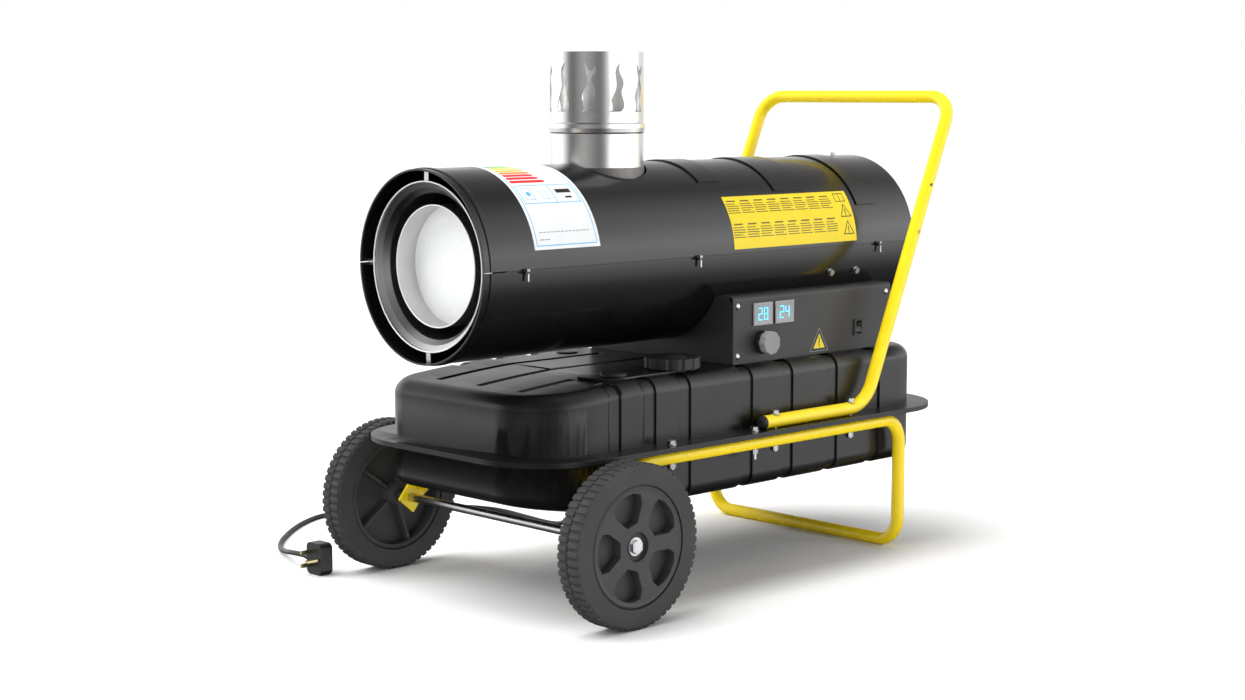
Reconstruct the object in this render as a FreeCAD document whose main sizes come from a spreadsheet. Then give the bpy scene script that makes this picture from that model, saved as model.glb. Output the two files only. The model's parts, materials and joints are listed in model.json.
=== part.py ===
import FreeCAD, Part
import Sketcher
import math
import os
from FreeCAD import Placement, Rotation, Vector

# Indirect-fired portable space heater on a two-wheeled trolley.
# Millimetres, +Z up, hot-air outlet towards -Y, control panel on the +X side.
# The origin is on the floor, under the middle of the machine's own box.

os.makedirs("parts", exist_ok=True)
doc = FreeCAD.newDocument("SpaceHeater")

drivingSizes = [
    ("barrelRadius", 147.7), ("barrelLength", 1000), ("barrelFront", -512.05), ("barrelHeight", 528),
    ("shellWall", 1.2), ("seamGap", 1.5), ("bandRise", 2.6),
    ("flueRadius", 74.75), ("flueWall", 0.8), ("flueY", -146.35), ("flueTop", 852),
    ("linerRadius", 129), ("linerNarrow", 111), ("linerSet", 13), ("sleeveRadius", 93), ("sleeveSet", 29.5),
    ("baffleSet", 64), ("drumRear", 60), ("burnerRadius", 58),
    ("fanY", 330), ("fanRadius", 132), ("motorRadius", 46), ("motorLength", 96), ("pumpRadius", 26),
    ("wheelRadius", 125), ("wheelWidth", 43), ("trackHalf", 305.8), ("rimRadius", 93), ("axleRadius", 7),
    ("axleY", -353.35), ("tubeRadius", 11), ("frameHalf", 218), ("tubeWall", 1.6),
    ("handleFront", 16.65), ("handleBendY", 273.05), ("crossbarY", 501.05), ("crossbarZ", 780.7),
    ("handleBend", 66), ("cornerBend", 45), ("standFront", -267.3), ("standRear", 366.65),
    ("tankHalf", 195), ("tankFront", -442.35), ("tankRear", 457.65), ("tankTop", 350), ("tankBottom", 150),
    ("tankCorner", 62), ("tankNearCorner", 110), ("tankWall", 1.5), ("tankEdge", 24), ("channelDepth", 3),
    ("channelWidth", 26), ("flangeHalf", 240), ("flangeFront", -490.35), ("flangeRear", 504.65),
    ("flangeCorner", 128), ("flangeTop", 248.5), ("flangeSheet", 4),
    ("boxFront", -5.55), ("boxRear", 395.65), ("boxHalf", 165), ("boxTop", 461), ("boxSheet", 1.5),
    ("panelFace", 170), ("panelBend", 8), ("plateauRise", 2.5), ("capX", 138), ("capY", -113.4), ("capRadius", 45),
    ("leadDiameter", 8.4), ("coilRadius", 46), ("coilX", -625), ("coilY", -23),
]

sheet = doc.addObject("Spreadsheet::Sheet", "dims")
for row, (alias, value) in enumerate(drivingSizes, 1):
    sheet.set("A%d" % row, alias)
    sheet.set("B%d" % row, str(value))
    sheet.setAlias("B%d" % row, alias)
doc.recompute()


class Size:
    """A length that knows both its number and its formula in the sheet."""

    def __init__(self, value, text=None):
        self.value = float(value)
        self.text = text if text else repr(float(value))

    def join(self, other, sign, turned=False):
        other = other if isinstance(other, Size) else Size(other)
        first, second = (other, self) if turned else (self, other)
        worth = {"+": first.value + second.value, "-": first.value - second.value,
                 "*": first.value * second.value, "/": first.value / (second.value or 1.0)}[sign]
        return Size(worth, "(%s %s %s)" % (first.text, sign, second.text))

    def __add__(self, other):
        return self.join(other, "+")

    def __radd__(self, other):
        return self.join(other, "+", True)

    def __sub__(self, other):
        return self.join(other, "-")

    def __rsub__(self, other):
        return self.join(other, "-", True)

    def __mul__(self, other):
        return self.join(other, "*")

    def __rmul__(self, other):
        return self.join(other, "*", True)

    def __truediv__(self, other):
        return self.join(other, "/")

    def __neg__(self):
        return 0 - self

    def __float__(self):
        return self.value


def size(alias):
    return Size(getattr(sheet, alias), "dims." + alias)


def number(length):
    return float(length)


dim = {alias: size(alias) for alias, value in drivingSizes}
dim["drumRadius"] = dim["sleeveRadius"] - 1.2
num = {alias: number(length) for alias, length in dim.items()}
nodes = {}


def keep(label, thing):
    thing.Label = label
    nodes[label] = thing
    return thing


def bind(thing, prop, length):
    if isinstance(length, Size):
        thing.setExpression(prop, length.text)


# Turns that lay a lathe's own +Z along the machine's axes.
alongZ = Rotation()
alongY = Rotation(Vector(1, 0, 0), -90)
alongX = Rotation(Vector(0, 1, 0), 90)
alongMinusX = Rotation(Vector(0, 1, 0), -90)


def place(thing, at, turn=alongZ):
    thing.Placement = Placement(Vector(*[number(v) for v in at]), turn)
    for axis, length in zip("xyz", at):
        bind(thing, "Placement.Base." + axis, length)


def outlineSketch(body, name, role, corners):
    """Closed outline whose corners are held by distances from the sheet."""
    sketch = body.newObject("Sketcher::SketchObject", name)
    planes = [item for item in body.Origin.OriginFeatures if item.Role == role]
    sketch.AttachmentSupport = [(planes[0], "")]
    sketch.MapMode = "FlatFace"
    count = len(corners)
    spots = [Vector(number(a), number(b), 0) for a, b in corners]
    for i in range(count):
        sketch.addGeometry(Part.LineSegment(spots[i], spots[(i + 1) % count]), False)
    for i in range(count):
        sketch.addConstraint(Sketcher.Constraint("Coincident", i, 2, (i + 1) % count, 1))
    for i, corner in enumerate(corners):
        for kind, axis, length in (("DistanceX", -2, corner[0]), ("DistanceY", -1, corner[1])):
            if abs(number(length)) < 1e-9:
                sketch.addConstraint(Sketcher.Constraint("PointOnObject", i, 1, axis))
                continue
            held = sketch.addConstraint(Sketcher.Constraint(kind, -1, 1, i, 1, number(length)))
            bind(sketch, "Constraints[%d]" % held, length)
    return sketch


def lathe(label, profile, at, turn=alongZ, register=True):
    """A turned piece: (radius, distance along) corners spun about its own Z."""
    body = doc.addObject("PartDesign::Body", label)
    sketch = outlineSketch(body, label + "_profile", "XZ_Plane", profile)
    spun = body.newObject("PartDesign::Revolution", label + "_spin")
    spun.Profile = sketch
    spun.ReferenceAxis = (sketch, ["V_Axis"])
    spun.Angle = 360
    place(body, at, turn)
    return keep(label, body) if register else body


def tubeProfile(inner, outer, low, high):
    return [(inner, low), (outer, low), (outer, high), (inner, high)]


def rodProfile(radius, low, high):
    return [(0, low), (radius, low), (radius, high), (0, high)]


def slab(label, corners, thick, at, role="XY_Plane", round_=0):
    """A flat piece: an outline padded to a thickness, its upright corners rounded."""
    body = doc.addObject("PartDesign::Body", label)
    sketch = outlineSketch(body, label + "_outline", role, corners)
    pad = body.newObject("PartDesign::Pad", label + "_pad")
    pad.Profile = sketch
    pad.Length = number(thick)
    bind(pad, "Length", thick)
    place(body, at)
    if round_:
        doc.recompute()
        upright = {"XY_Plane": 2, "XZ_Plane": 1, "YZ_Plane": 0}[role]
        names = []
        for i, edge in enumerate(pad.Shape.Edges, 1):
            ends = [vertex.Point for vertex in edge.Vertexes]
            if len(ends) == 2 and abs(abs((ends[1] - ends[0])[upright]) - number(thick)) < 1e-6:
                names.append("Edge%d" % i)
        fillet = body.newObject("PartDesign::Fillet", label + "_corners")
        fillet.Base = (pad, names)
        fillet.Radius = round_
    return keep(label, body)


def rectangle(x0, x1, y0, y1):
    return [(x0, y0), (x1, y0), (x1, y1), (x0, y1)]


def block(name, low, high):
    """A Part box between two corners."""
    box = doc.addObject("Part::Box", name)
    for prop, a, b in zip(("Length", "Width", "Height"), low, high):
        length = b - a
        setattr(box, prop, number(length))
        bind(box, prop, length)
    place(box, low)
    return box


def rod(name, radius, length, at, turn=alongZ):
    post = doc.addObject("Part::Cylinder", name)
    post.Radius = number(radius)
    bind(post, "Radius", radius)
    post.Height = number(length)
    bind(post, "Height", length)
    place(post, at, turn)
    return post


def fuse(name, things):
    joined = doc.addObject("Part::MultiFuse", name)
    joined.Shapes = things
    return joined


def cut(name, base, tools):
    left = doc.addObject("Part::Cut", name)
    left.Base = base
    left.Tool = tools[0] if len(tools) == 1 else fuse(name + "_tools", tools)
    return left


def shaped(label, shape):
    feature = doc.addObject("Part::Feature", label)
    feature.Shape = shape
    return keep(label, feature)


def group(label, shapes):
    return shaped(label, Part.makeCompound(shapes))


# Plain solids for fasteners, sheet work and swept tubes.

def cylinder(radius, length, at, direction=Vector(0, 0, 1)):
    return Part.makeCylinder(radius, length, Vector(*at), direction)


def pipeRing(outer, inner, length, at, direction=Vector(0, 0, 1)):
    return cylinder(outer, length, at, direction).cut(cylinder(inner, length, at, direction))


def brick(low, high):
    low, high = Vector(*low), Vector(*high)
    side = high - low
    return Part.makeBox(side.x, side.y, side.z, low)


def hexPrism(acrossFlats, length, at, direction=Vector(0, 0, 1)):
    radius = acrossFlats / math.sqrt(3)
    corners = [Vector(radius * math.cos(math.radians(60 * i)), radius * math.sin(math.radians(60 * i)), 0)
               for i in range(6)]
    prism = Part.Face(Part.makePolygon(corners + corners[:1])).extrude(Vector(0, 0, length))
    prism.Placement = Placement(Vector(*at), Rotation(Vector(0, 0, 1), direction))
    return prism


def screw(shank, head, headHeight, length, at, direction):
    """Hex-headed screw: the head stands on the face at `at`, the shank goes the other way."""
    out = Vector(direction).normalize()
    washer = cylinder(head * 0.62, 1.0, at, out)
    top = hexPrism(head, headHeight, Vector(*at) + out, out)
    return washer.fuse(top).fuse(cylinder(shank, length, at, -out))


def routeWire(points, radii=None, slack=0.45):
    """Straight runs joined by tangent arcs, each as large as its runs allow."""
    spots = [Vector(*point) for point in points]
    edges, used, start = [], [], spots[0]
    for i in range(1, len(spots) - 1):
        before, after = spots[i - 1] - spots[i], spots[i + 1] - spots[i]
        turn = math.pi - before.getAngle(after)
        reach = slack * min(before.Length, after.Length)
        if radii is not None:
            reach = radii[i - 1] * math.tan(turn / 2)
        first = spots[i] + before.normalize() * reach
        last = spots[i] + after.normalize() * reach
        radius = reach / math.tan(turn / 2)
        middle = (before + after).normalize()
        deep = radius / math.cos(turn / 2) - radius
        edges.append(Part.LineSegment(start, first).toShape())
        edges.append(Part.Arc(first, spots[i] + middle * deep, last).toShape())
        used.append(radius)
        start = last
    edges.append(Part.LineSegment(start, spots[-1]).toShape())
    return Part.Wire(edges), used


def sweep(wire, radius):
    start = wire.Edges[0]
    along = start.tangentAt(start.FirstParameter)
    ring = Part.Wire([Part.Circle(start.valueAt(start.FirstParameter), along, radius).toShape()])
    return wire.makePipeShell([ring], True, False)


# ---- Barrel -------------------------------------------------------------------------------------

axisZ = num["barrelHeight"]
rimY = num["barrelFront"]
rearY = rimY + num["barrelLength"]
shellOut = num["barrelRadius"]
shellIn = shellOut - num["shellWall"]
yWay = Vector(0, 1, 0)
xWay = Vector(1, 0, 0)
zWay = Vector(0, 0, 1)

seamScrewY = [-431.4, -63.4, 389.6]
boxBoltY = [268.7, 335.9]
boxBoltAngle = 107.6
bandSpans = [(-8, 44, 39), (154.6, 229.6, 49.4), (347, 396, 63.2)]


def polar(radius, angle, y):
    """A point round the barrel; the angle runs from the crest towards +X."""
    turn = math.radians(angle)
    return Vector(radius * math.sin(turn), y, axisZ + radius * math.cos(turn))


def barrelHalf(upper):
    r, t = shellOut, num["shellWall"]
    length = num["barrelLength"]
    profile = [(r - t, 6), (r - 3, 6), (r - 3, 0), (r, 0), (r, 10.5), (r + 1.5, 12.5), (r + 1.5, 19),
               (r, 21.5), (r, length), (r - t, length)]
    corners = [Vector(radius, rimY + along, 0) for radius, along in profile]
    face = Part.Face(Part.makePolygon(corners + corners[:1]))
    shell = face.revolve(Vector(0, 0, 0), yWay, 360)
    shell.translate(Vector(0, 0, axisZ))
    if upper:
        for front, rear, half in bandSpans:
            ring = pipeRing(r + num["bandRise"], r - 0.4, rear - front, (0, front, axisZ), yWay)
            wedge = Part.Face(Part.makePolygon([
                Vector(0, front, axisZ), polar(3 * r, half, front), polar(3 * r, 0, front),
                polar(3 * r, -half, front), Vector(0, front, axisZ)])).extrude(Vector(0, rear - front, 0))
            shell = shell.fuse(ring.common(wedge))
    gap = num["seamGap"] / 2
    side = 2 * r
    low = axisZ + gap if upper else axisZ - side
    keepBox = brick((-side, rimY - 5, low), (side, rearY + 5, low + side if upper else axisZ - gap))
    return shell.common(keepBox)


upperShell = barrelHalf(True)
upperShell = upperShell.cut(cylinder(num["flueRadius"] + 5, 200, (0, num["flueY"], axisZ + 60)))
upperShell = upperShell.cut(cylinder(3.1, 20, (0, 440.6, axisZ + shellOut - 10)))
shaped("barrel_upper", upperShell)

lowerShell = barrelHalf(False)
for y in boxBoltY:
    for side in (-1, 1):
        out = polar(1, side * boxBoltAngle, 0) - Vector(0, 0, axisZ)
        lowerShell = lowerShell.cut(cylinder(3.1, 20, polar(shellOut - 10, side * boxBoltAngle, y), out))
shaped("barrel_lower", lowerShell)

# Screwed lugs that close the seam, three on each side.
lugs, lugScrews = [], []
for side in (-1, 1):
    for y in seamScrewY:
        foot = shellOut
        lug = brick((min(side * (foot - 0.8), side * (foot + 9)), y - 8, axisZ - 4.5),
                    (max(side * (foot - 0.8), side * (foot + 9)), y + 8, axisZ - 1.5))
        lugScrews.append(cylinder(2.0, 12, (side * (foot + 4.6), y, axisZ - 16.5)))
        lugs.append(lug.cut(cylinder(2.0, 20, (side * (foot + 4.6), y, axisZ - 17))))
        head = hexPrism(6.4, 4, (side * (foot + 4.6), y, axisZ - 1.5))
        lugScrews[-1] = lugScrews[-1].fuse(cylinder(2.0, 3, (side * (foot + 4.6), y, axisZ - 4.5))).fuse(head)
lowerNode = nodes["barrel_lower"]
for lug in lugs:
    lowerNode.Shape = lowerNode.Shape.fuse(lug)

# ---- Outlet, heat exchanger and flue --------------------------------------------------------------

sheetLiner = 1.2
linerFront = (0, dim["barrelFront"] + dim["linerSet"], dim["barrelHeight"])
lathe("outlet_funnel", [
    (dim["linerRadius"] - sheetLiner, 0), (dim["linerRadius"], 0), (dim["linerRadius"], 4),
    (dim["linerRadius"] - 9, 9), (dim["linerNarrow"] + sheetLiner, 17), (dim["linerNarrow"], 17),
    (dim["linerNarrow"], 16.4), (dim["linerRadius"] - 10.2, 8), (dim["linerRadius"] - sheetLiner, 3.4)],
    linerFront, alongY)
lathe("outlet_liner", tubeProfile(dim["linerNarrow"], dim["linerNarrow"] + sheetLiner, 17, 262), linerFront, alongY)

clips = []
for angle in (0, 90, 180, 270):
    inner = polar(num["linerRadius"], angle, rimY + 20)
    strip = brick((-5, rimY + 14, num["linerRadius"]), (5, rimY + 16, shellIn))
    foot = brick((-5, rimY + 14, num["linerRadius"]), (5, rimY + 24, num["linerRadius"] + 1.2))
    foot = foot.cut(cylinder(num["linerRadius"] + 0.02, 60, (0, rimY, 0), yWay))
    clip = strip.fuse(foot).common(pipeRing(shellIn, num["linerRadius"], 60, (0, rimY, 0), yWay))
    clip.Placement = Placement(Vector(0, 0, axisZ), Rotation(yWay, angle))
    clips.append(clip)
group("liner_clips", clips)

lathe("outlet_sleeve", tubeProfile(dim["sleeveRadius"] - 1.2, dim["sleeveRadius"], 0, 60),
      (0, dim["barrelFront"] + dim["sleeveSet"], dim["barrelHeight"]), alongY)
lathe("front_baffle", rodProfile(dim["sleeveRadius"] - 1.2, 0, 1.5),
      (0, dim["barrelFront"] + dim["baffleSet"], dim["barrelHeight"]), alongY)

drumFront = rimY + num["baffleSet"] + 1.5
drum = cylinder(num["drumRadius"], num["drumRear"] - drumFront, (0, drumFront, axisZ), yWay)
flueFoot = axisZ + num["drumRadius"] + 32
collarTop = flueFoot + 18
spigot = cylinder(num["flueRadius"] + 1.4, collarTop - axisZ, (0, num["flueY"], axisZ))
inside = cylinder(num["drumRadius"] - 1.5, num["drumRear"] - drumFront - 3, (0, drumFront + 1.5, axisZ), yWay)
bore = cylinder(num["flueRadius"] + 0.02, 180, (0, num["flueY"], axisZ))
mouth = cylinder(num["burnerRadius"], 10, (0, num["drumRear"] - 5, axisZ), yWay)
shaped("heat_exchanger", drum.fuse(spigot).cut(inside).cut(bore).cut(mouth))

pipe = pipeRing(num["flueRadius"], num["flueRadius"] - num["flueWall"], num["flueTop"] - flueFoot,
                (0, num["flueY"], flueFoot))
bead = [Vector(num["flueRadius"] - 0.4, 0, 722.6), Vector(num["flueRadius"] + 1.6, 0, 725.5),
        Vector(num["flueRadius"] + 2.5, 0, 732), Vector(num["flueRadius"] + 1.6, 0, 738.5),
        Vector(num["flueRadius"] - 0.4, 0, 741.4)]
beadRing = Part.Face(Part.makePolygon(bead + bead[:1])).revolve(Vector(0, 0, 0), zWay, 360)
beadRing.translate(Vector(0, num["flueY"], 0))
pipe = pipe.fuse(beadRing)


def flameSlot(left, right, crown):
    """A flame outline on the pipe's side, as a solid that reaches through the wall."""
    edges = []
    for run in (left, crown, right):
        curve = Part.BSplineCurve()
        if len(run) > 1:
            curve.interpolate([Vector(40, across, ventLow + up) for across, up in run])
            edges.append(curve.toShape())
    foot = Part.LineSegment(Vector(40, right[-1][0], ventLow + right[-1][1]),
                            Vector(40, left[0][0], ventLow + left[0][1])).toShape()
    return Part.Face(Part.Wire(edges + [foot])).extrude(Vector(60, 0, 0))


ventLow, ventCount = 757, 10
oneTongue = flameSlot(
    [(-12.3, 1), (-13, 9.6), (-9.5, 20.6), (-1.6, 43.4), (-3.6, 62.5), (7.4, 78)],
    [(7.4, 78), (4.1, 62.5), (11.5, 45), (7.9, 31.6), (12.8, 12.5), (6.6, 1)], [])
twoTongues = flameSlot(
    [(-11.2, 0.7), (-7.2, 8), (-10.1, 21), (-9.3, 30), (-2.2, 46), (-2.7, 61), (-6, 79)],
    [(10.4, 73), (9.7, 60), (5.2, 54), (10.4, 36), (6.7, 18), (11.2, 0.7)],
    [(-6, 79), (5.2, 66), (10.4, 73)])
for i in range(ventCount):
    slot = twoTongues.copy() if i % 2 == 0 else oneTongue.copy()
    slot.Placement = Placement(Vector(0, num["flueY"], 0), Rotation(zWay, 18 + 360 / ventCount * i))
    pipe = pipe.cut(slot)
shaped("flue_pipe", pipe)

# ---- Burner, fan and pump -------------------------------------------------------------------------

lathe("burner_plate", tubeProfile(20, dim["drumRadius"] + 12, 0, 2), (0, dim["drumRear"], dim["barrelHeight"]),
      alongY)
lathe("flame_tube", [(dim["burnerRadius"] - 1.2, 0), (dim["burnerRadius"], 0), (dim["burnerRadius"], 90),
                     (20, 90), (20, 88.8), (dim["burnerRadius"] - 1.2, 88.8)],
      (0, dim["drumRear"] - 90, dim["barrelHeight"]), alongY)
lathe("fuel_nozzle", [(0, 0), (3, 0), (7, 6), (7, 20), (9, 20), (9, 48), (0, 48)],
      (0, dim["drumRear"] - 40, dim["barrelHeight"]), alongY)
electrodes = []
for side in (-1, 1):
    ceramic = cylinder(4, 46, (side * 14, num["drumRear"] - 36, axisZ + 6), yWay)
    tip = cylinder(1, 22, (side * 14, num["drumRear"] - 58, axisZ + 6), yWay)
    electrodes.append(ceramic.fuse(tip))
group("ignition_electrodes", electrodes)
lathe("flame_sensor", [(0, 0), (6, 0), (6, 24), (4, 24), (4, 34), (0, 34)],
      (0, dim["drumRear"] + 2, dim["barrelHeight"] - 34), alongY)

motorFront = num["fanY"] - 36 - num["motorLength"]
lathe("fan_motor", [
    (4.05, 0), (dim["motorRadius"] - 8, 0), (dim["motorRadius"], 8), (dim["motorRadius"], dim["motorLength"] - 8),
    (dim["motorRadius"] - 8, dim["motorLength"]), (4.05, dim["motorLength"])],
    (0, dim["fanY"] - 36 - dim["motorLength"], dim["barrelHeight"]), alongY)
lathe("fuel_pump", [
    (0, 0), (8, 0), (8, 10), (dim["pumpRadius"], 10), (dim["pumpRadius"], 44), (4.05, 44), (4.05, 15), (0, 15)],
    (0, dim["fanY"] - 36 - dim["motorLength"] - 44, dim["barrelHeight"]), alongY)

shaft = cylinder(4, num["motorLength"] + 78, (0, motorFront - 26, axisZ), yWay)
hub = pipeRing(22, 4, 26, (0, num["fanY"] - 13, axisZ), yWay)
blades = []
for i in range(5):
    blade = brick((-34, -1, 20), (34, 1, num["fanRadius"]))
    blade.rotate(Vector(0, 0, 0), zWay, 28)
    blade = blade.common(pipeRing(num["fanRadius"], 21.9, 60, (0, -30, 0), yWay))
    blade.Placement = Placement(Vector(0, num["fanY"], axisZ), Rotation(yWay, 72 * i)).multiply(blade.Placement)
    blades.append(blade)
wheelFan = hub
for blade in blades:
    wheelFan = wheelFan.fuse(blade)
shaped("fan_blade", wheelFan.cut(cylinder(4, 80, (0, num["fanY"] - 40, axisZ), yWay)))
shaped("motor_shaft", shaft)

legs = []
for y in boxBoltY:
    ring = pipeRing(num["motorRadius"] + 3, num["motorRadius"], 14, (0, y - 47, axisZ), yWay)
    legs.append(ring)
saddle = legs[0].fuse(legs[1])
saddleY0, saddleY1 = boxBoltY[0] - 47, boxBoltY[1] - 33
for side in (-1, 1):
    out = polar(1, side * boxBoltAngle, 0) - Vector(0, 0, axisZ)
    arm = brick((-9, saddleY0, num["motorRadius"] + 1.5), (9, saddleY1, shellIn - 0.02))
    arm = arm.cut(brick((-7, saddleY0 + 14, num["motorRadius"] + 6), (7, saddleY1 - 14, shellIn - 2)))
    foot = brick((-12, saddleY0, 136), (12, boxBoltY[1] + 10, shellIn - 0.02))
    arm = arm.fuse(foot.cut(cylinder(shellIn - 2, 400, (0, saddleY0 - 50, 0), yWay)))
    for y in boxBoltY:
        arm = arm.cut(cylinder(3.05, 30, (0, y, 125)))
    arm.Placement = Placement(Vector(0, 0, axisZ), Rotation(yWay, side * boxBoltAngle))
    saddle = saddle.fuse(arm)
saddle = saddle.common(cylinder(shellIn - 0.02, 400, (0, saddleY0 - 50, axisZ), yWay))
shaped("motor_bracket", saddle.cut(cylinder(num["motorRadius"], 400, (0, saddleY0 - 50, axisZ), yWay)))

guard = pipeRing(shellIn, shellIn - 3.4, 4, (0, rearY - 6, axisZ), yWay)
for radius in (24, 44, 64, 84, 104, 124):
    guard = guard.fuse(pipeRing(radius + 1.2, radius - 1.2, 2.4, (0, rearY - 5.2, axisZ), yWay))
for i in range(8):
    spoke = cylinder(1.5, shellIn - 24, polar(22.8, 45 * i + 22.5, rearY - 4), polar(1, 45 * i + 22.5, 0)
                     - Vector(0, 0, axisZ))
    guard = guard.fuse(spoke)
shaped("rear_guard", guard.common(cylinder(shellIn, 40, (0, rearY - 20, axisZ), yWay)))

# ---- Support box and control panel ------------------------------------------------------------------

b0, b1, bh, bt, bs = (dim[k] for k in ("boxFront", "boxRear", "boxHalf", "boxTop", "boxSheet"))
glandY, glandZ, pickupAt = 46.65, 392, (-90, 220)
floorZ = dim["tankTop"]
panel = dim["panelFace"]
barrelTool = rod("box_saddle", dim["barrelRadius"], dim["barrelLength"],
                 (0, dim["barrelFront"], dim["barrelHeight"]), alongY)
boxBody = block("box_outside", (-bh, b0, floorZ), (panel - bs, b1, bt))
boxRoom = block("box_inside", (-bh + bs, b0 + bs, floorZ + bs), (panel + 1, b1 - bs, bt - bs))
glandHole = rod("box_gland_hole", 8, 12, (-bh - 5, glandY, glandZ), alongX)
bendRoom = block("box_bend_room", (panel - dim["panelBend"], b0 - 1, bt - dim["panelBend"]),
                 (panel + 1, b1 + 1, bt + 1))
pickupHole = rod("box_pickup_hole", 6, 10, (pickupAt[0], pickupAt[1], floorZ - 4))
keep("support_box", cut("support_box", boxBody, [boxRoom, barrelTool, glandHole, bendRoom, pickupHole]))

displayZ, displayY = 429, (64.5, 117.4)
displayWide, displayTall = 45, 37
knobY, knobZ = 64.7, 382.5
rockerY, rockerZ = 311.4, 387.8
panelScrewSpots = [(y, z) for y in (5.4, 385) for z in (363, 444.4)]

flat = brick((num["panelFace"] - num["boxSheet"], num["boxFront"], num["tankTop"]),
             (num["panelFace"], num["boxRear"] + 2, num["boxTop"] - num["panelBend"]))
bendOut, bendIn = num["panelBend"], num["panelBend"] - num["boxSheet"]
bendAt = (num["panelFace"] - bendOut, num["boxFront"], num["boxTop"] - bendOut)
across = num["boxRear"] + 2 - num["boxFront"]
bend = pipeRing(bendOut, bendIn, across, bendAt, yWay)
bend = bend.common(brick(bendAt, (num["panelFace"], num["boxRear"] + 2, num["boxTop"])))
face = flat.fuse(bend)
for y in displayY:
    face = face.cut(brick((160, y - displayWide / 2 + 3, displayZ - displayTall / 2 + 3),
                          (175, y + displayWide / 2 - 3, displayZ + displayTall / 2 - 3)))
face = face.cut(cylinder(5.5, 20, (160, knobY, knobZ), xWay))
face = face.cut(brick((160, rockerY - 9.5, rockerZ - 11.5), (180, rockerY + 9.5, rockerZ + 11.5)))
for y, z in panelScrewSpots:
    face = face.cut(cylinder(2.2, 20, (160, y, z), xWay))
shaped("control_panel", face)
screws = []
for y, z in panelScrewSpots:
    domed = Part.makeSphere(7.2, Vector(num["panelFace"] - 4.4, y, z)).common(
        cylinder(5.6, 20, (num["panelFace"], y, z), xWay))
    screws.append(domed.fuse(cylinder(2.2, 10, (num["panelFace"] - 10, y, z), xWay)))
group("panel_screws", screws)

for name, y in zip(("room_display", "setting_display"), displayY):
    bezel = brick((num["panelFace"], y - displayWide / 2, displayZ - displayTall / 2),
                  (num["panelFace"] + 3.4, y + displayWide / 2, displayZ + displayTall / 2))
    housing = brick((num["panelFace"] - 22, y - displayWide / 2 + 3, displayZ - displayTall / 2 + 3),
                    (num["panelFace"], y + displayWide / 2 - 3, displayZ + displayTall / 2 - 3))
    shaped(name, bezel.fuse(housing))

lathe("thermostat_body", [(3.06, 0), (11, 0), (11, 14), (5.4, 14), (5.4, 17), (3.06, 17)],
      (dim["panelFace"] - dim["boxSheet"] - 14, knobY, knobZ), alongX)
knobRadius, knobDeep, lobes = 19.8, 20.6, 8
skirt = cylinder(knobRadius, knobDeep, (0, 0, 0))
for i in range(lobes):
    angle = math.radians(360 / lobes * i)
    skirt = skirt.cut(cylinder(7, knobDeep, (24.2 * math.cos(angle), 24.2 * math.sin(angle), 0)))
skirt = skirt.fuse(cylinder(3.0, 18, (0, 0, -18)))
skirt.Placement = Placement(Vector(num["panelFace"] + 2.4, knobY, knobZ), alongX)
shaped("thermostat_knob", skirt)

bezel = brick((num["panelFace"], rockerY - 12.5, rockerZ - 13.5),
              (num["panelFace"] + 2, rockerY + 12.5, rockerZ + 13.5))
housing = brick((num["panelFace"] - 20, rockerY - 9.5, rockerZ - 11.5),
                (num["panelFace"], rockerY + 9.5, rockerZ + 11.5))
well = brick((num["panelFace"] - 12, rockerY - 6.6, rockerZ - 10.8),
             (num["panelFace"] + 3, rockerY + 6.6, rockerZ + 10.8))
rockerPivot = (num["panelFace"] - 3, rockerY, rockerZ)
socket = cylinder(2.5, 15.4, (rockerPivot[0], rockerY - 7.7, rockerZ), yWay)
shaped("rocker_bezel", bezel.fuse(housing).cut(well).cut(socket))
paddle = Part.Face(Part.makePolygon([
    Vector(rockerPivot[0] - 2.5, 0, -7.8), Vector(rockerPivot[0] + 5.2, 0, -8.4),
    Vector(rockerPivot[0] + 4.0, 0, 0), Vector(rockerPivot[0] + 7.6, 0, 8.4),
    Vector(rockerPivot[0] - 2.5, 0, 7.8),
    Vector(rockerPivot[0] - 2.5, 0, -7.8)])).extrude(Vector(0, 12.6, 0))
paddle.translate(Vector(0, rockerY - 6.3, rockerZ))
trunnion = cylinder(2.4, 14.8, (rockerPivot[0], rockerY - 7.4, rockerZ), yWay)
shaped("rocker_switch", paddle.fuse(trunnion))

boardAt = dim["tankTop"] + dim["boxSheet"]
keep("circuit_board", block("circuit_board", (90, 40, boardAt), (150, 180, boardAt + 10)))
keep("ignition_transformer", block("ignition_transformer", (-60, 60, dim["tankTop"] + dim["boxSheet"]),
                                   (10, 170, dim["tankTop"] + dim["boxSheet"] + 26)))

bolts = lugScrews + [screw(3.0, 8, 4.5, 12, (0, 440.6, axisZ + shellOut), (0, 0, 1))]
for y in boxBoltY:
    for side in (-1, 1):
        out = polar(1, side * boxBoltAngle, 0) - Vector(0, 0, axisZ)
        bolts.append(screw(3.0, 10, 5, 8, polar(shellOut, side * boxBoltAngle, y), out))
group("barrel_bolts", bolts)

lathe("cable_gland", [(0, -8), (8, -8), (8, 0), (11, 0), (11, 6), (9, 10), (5.4, 30), (0, 30)],
      (-dim["boxHalf"], glandY, glandZ), alongMinusX)

# ---- Fuel tank -------------------------------------------------------------------------------------

flangeMid = num["flangeTop"] - num["flangeSheet"]
channelSpots = [-294.3, -218.9, -141.4, 3.0, 101.8, 215.3, 328.3]
grooveSpots = [(-97, -45), (0, 390), (97, -290)]


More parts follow.
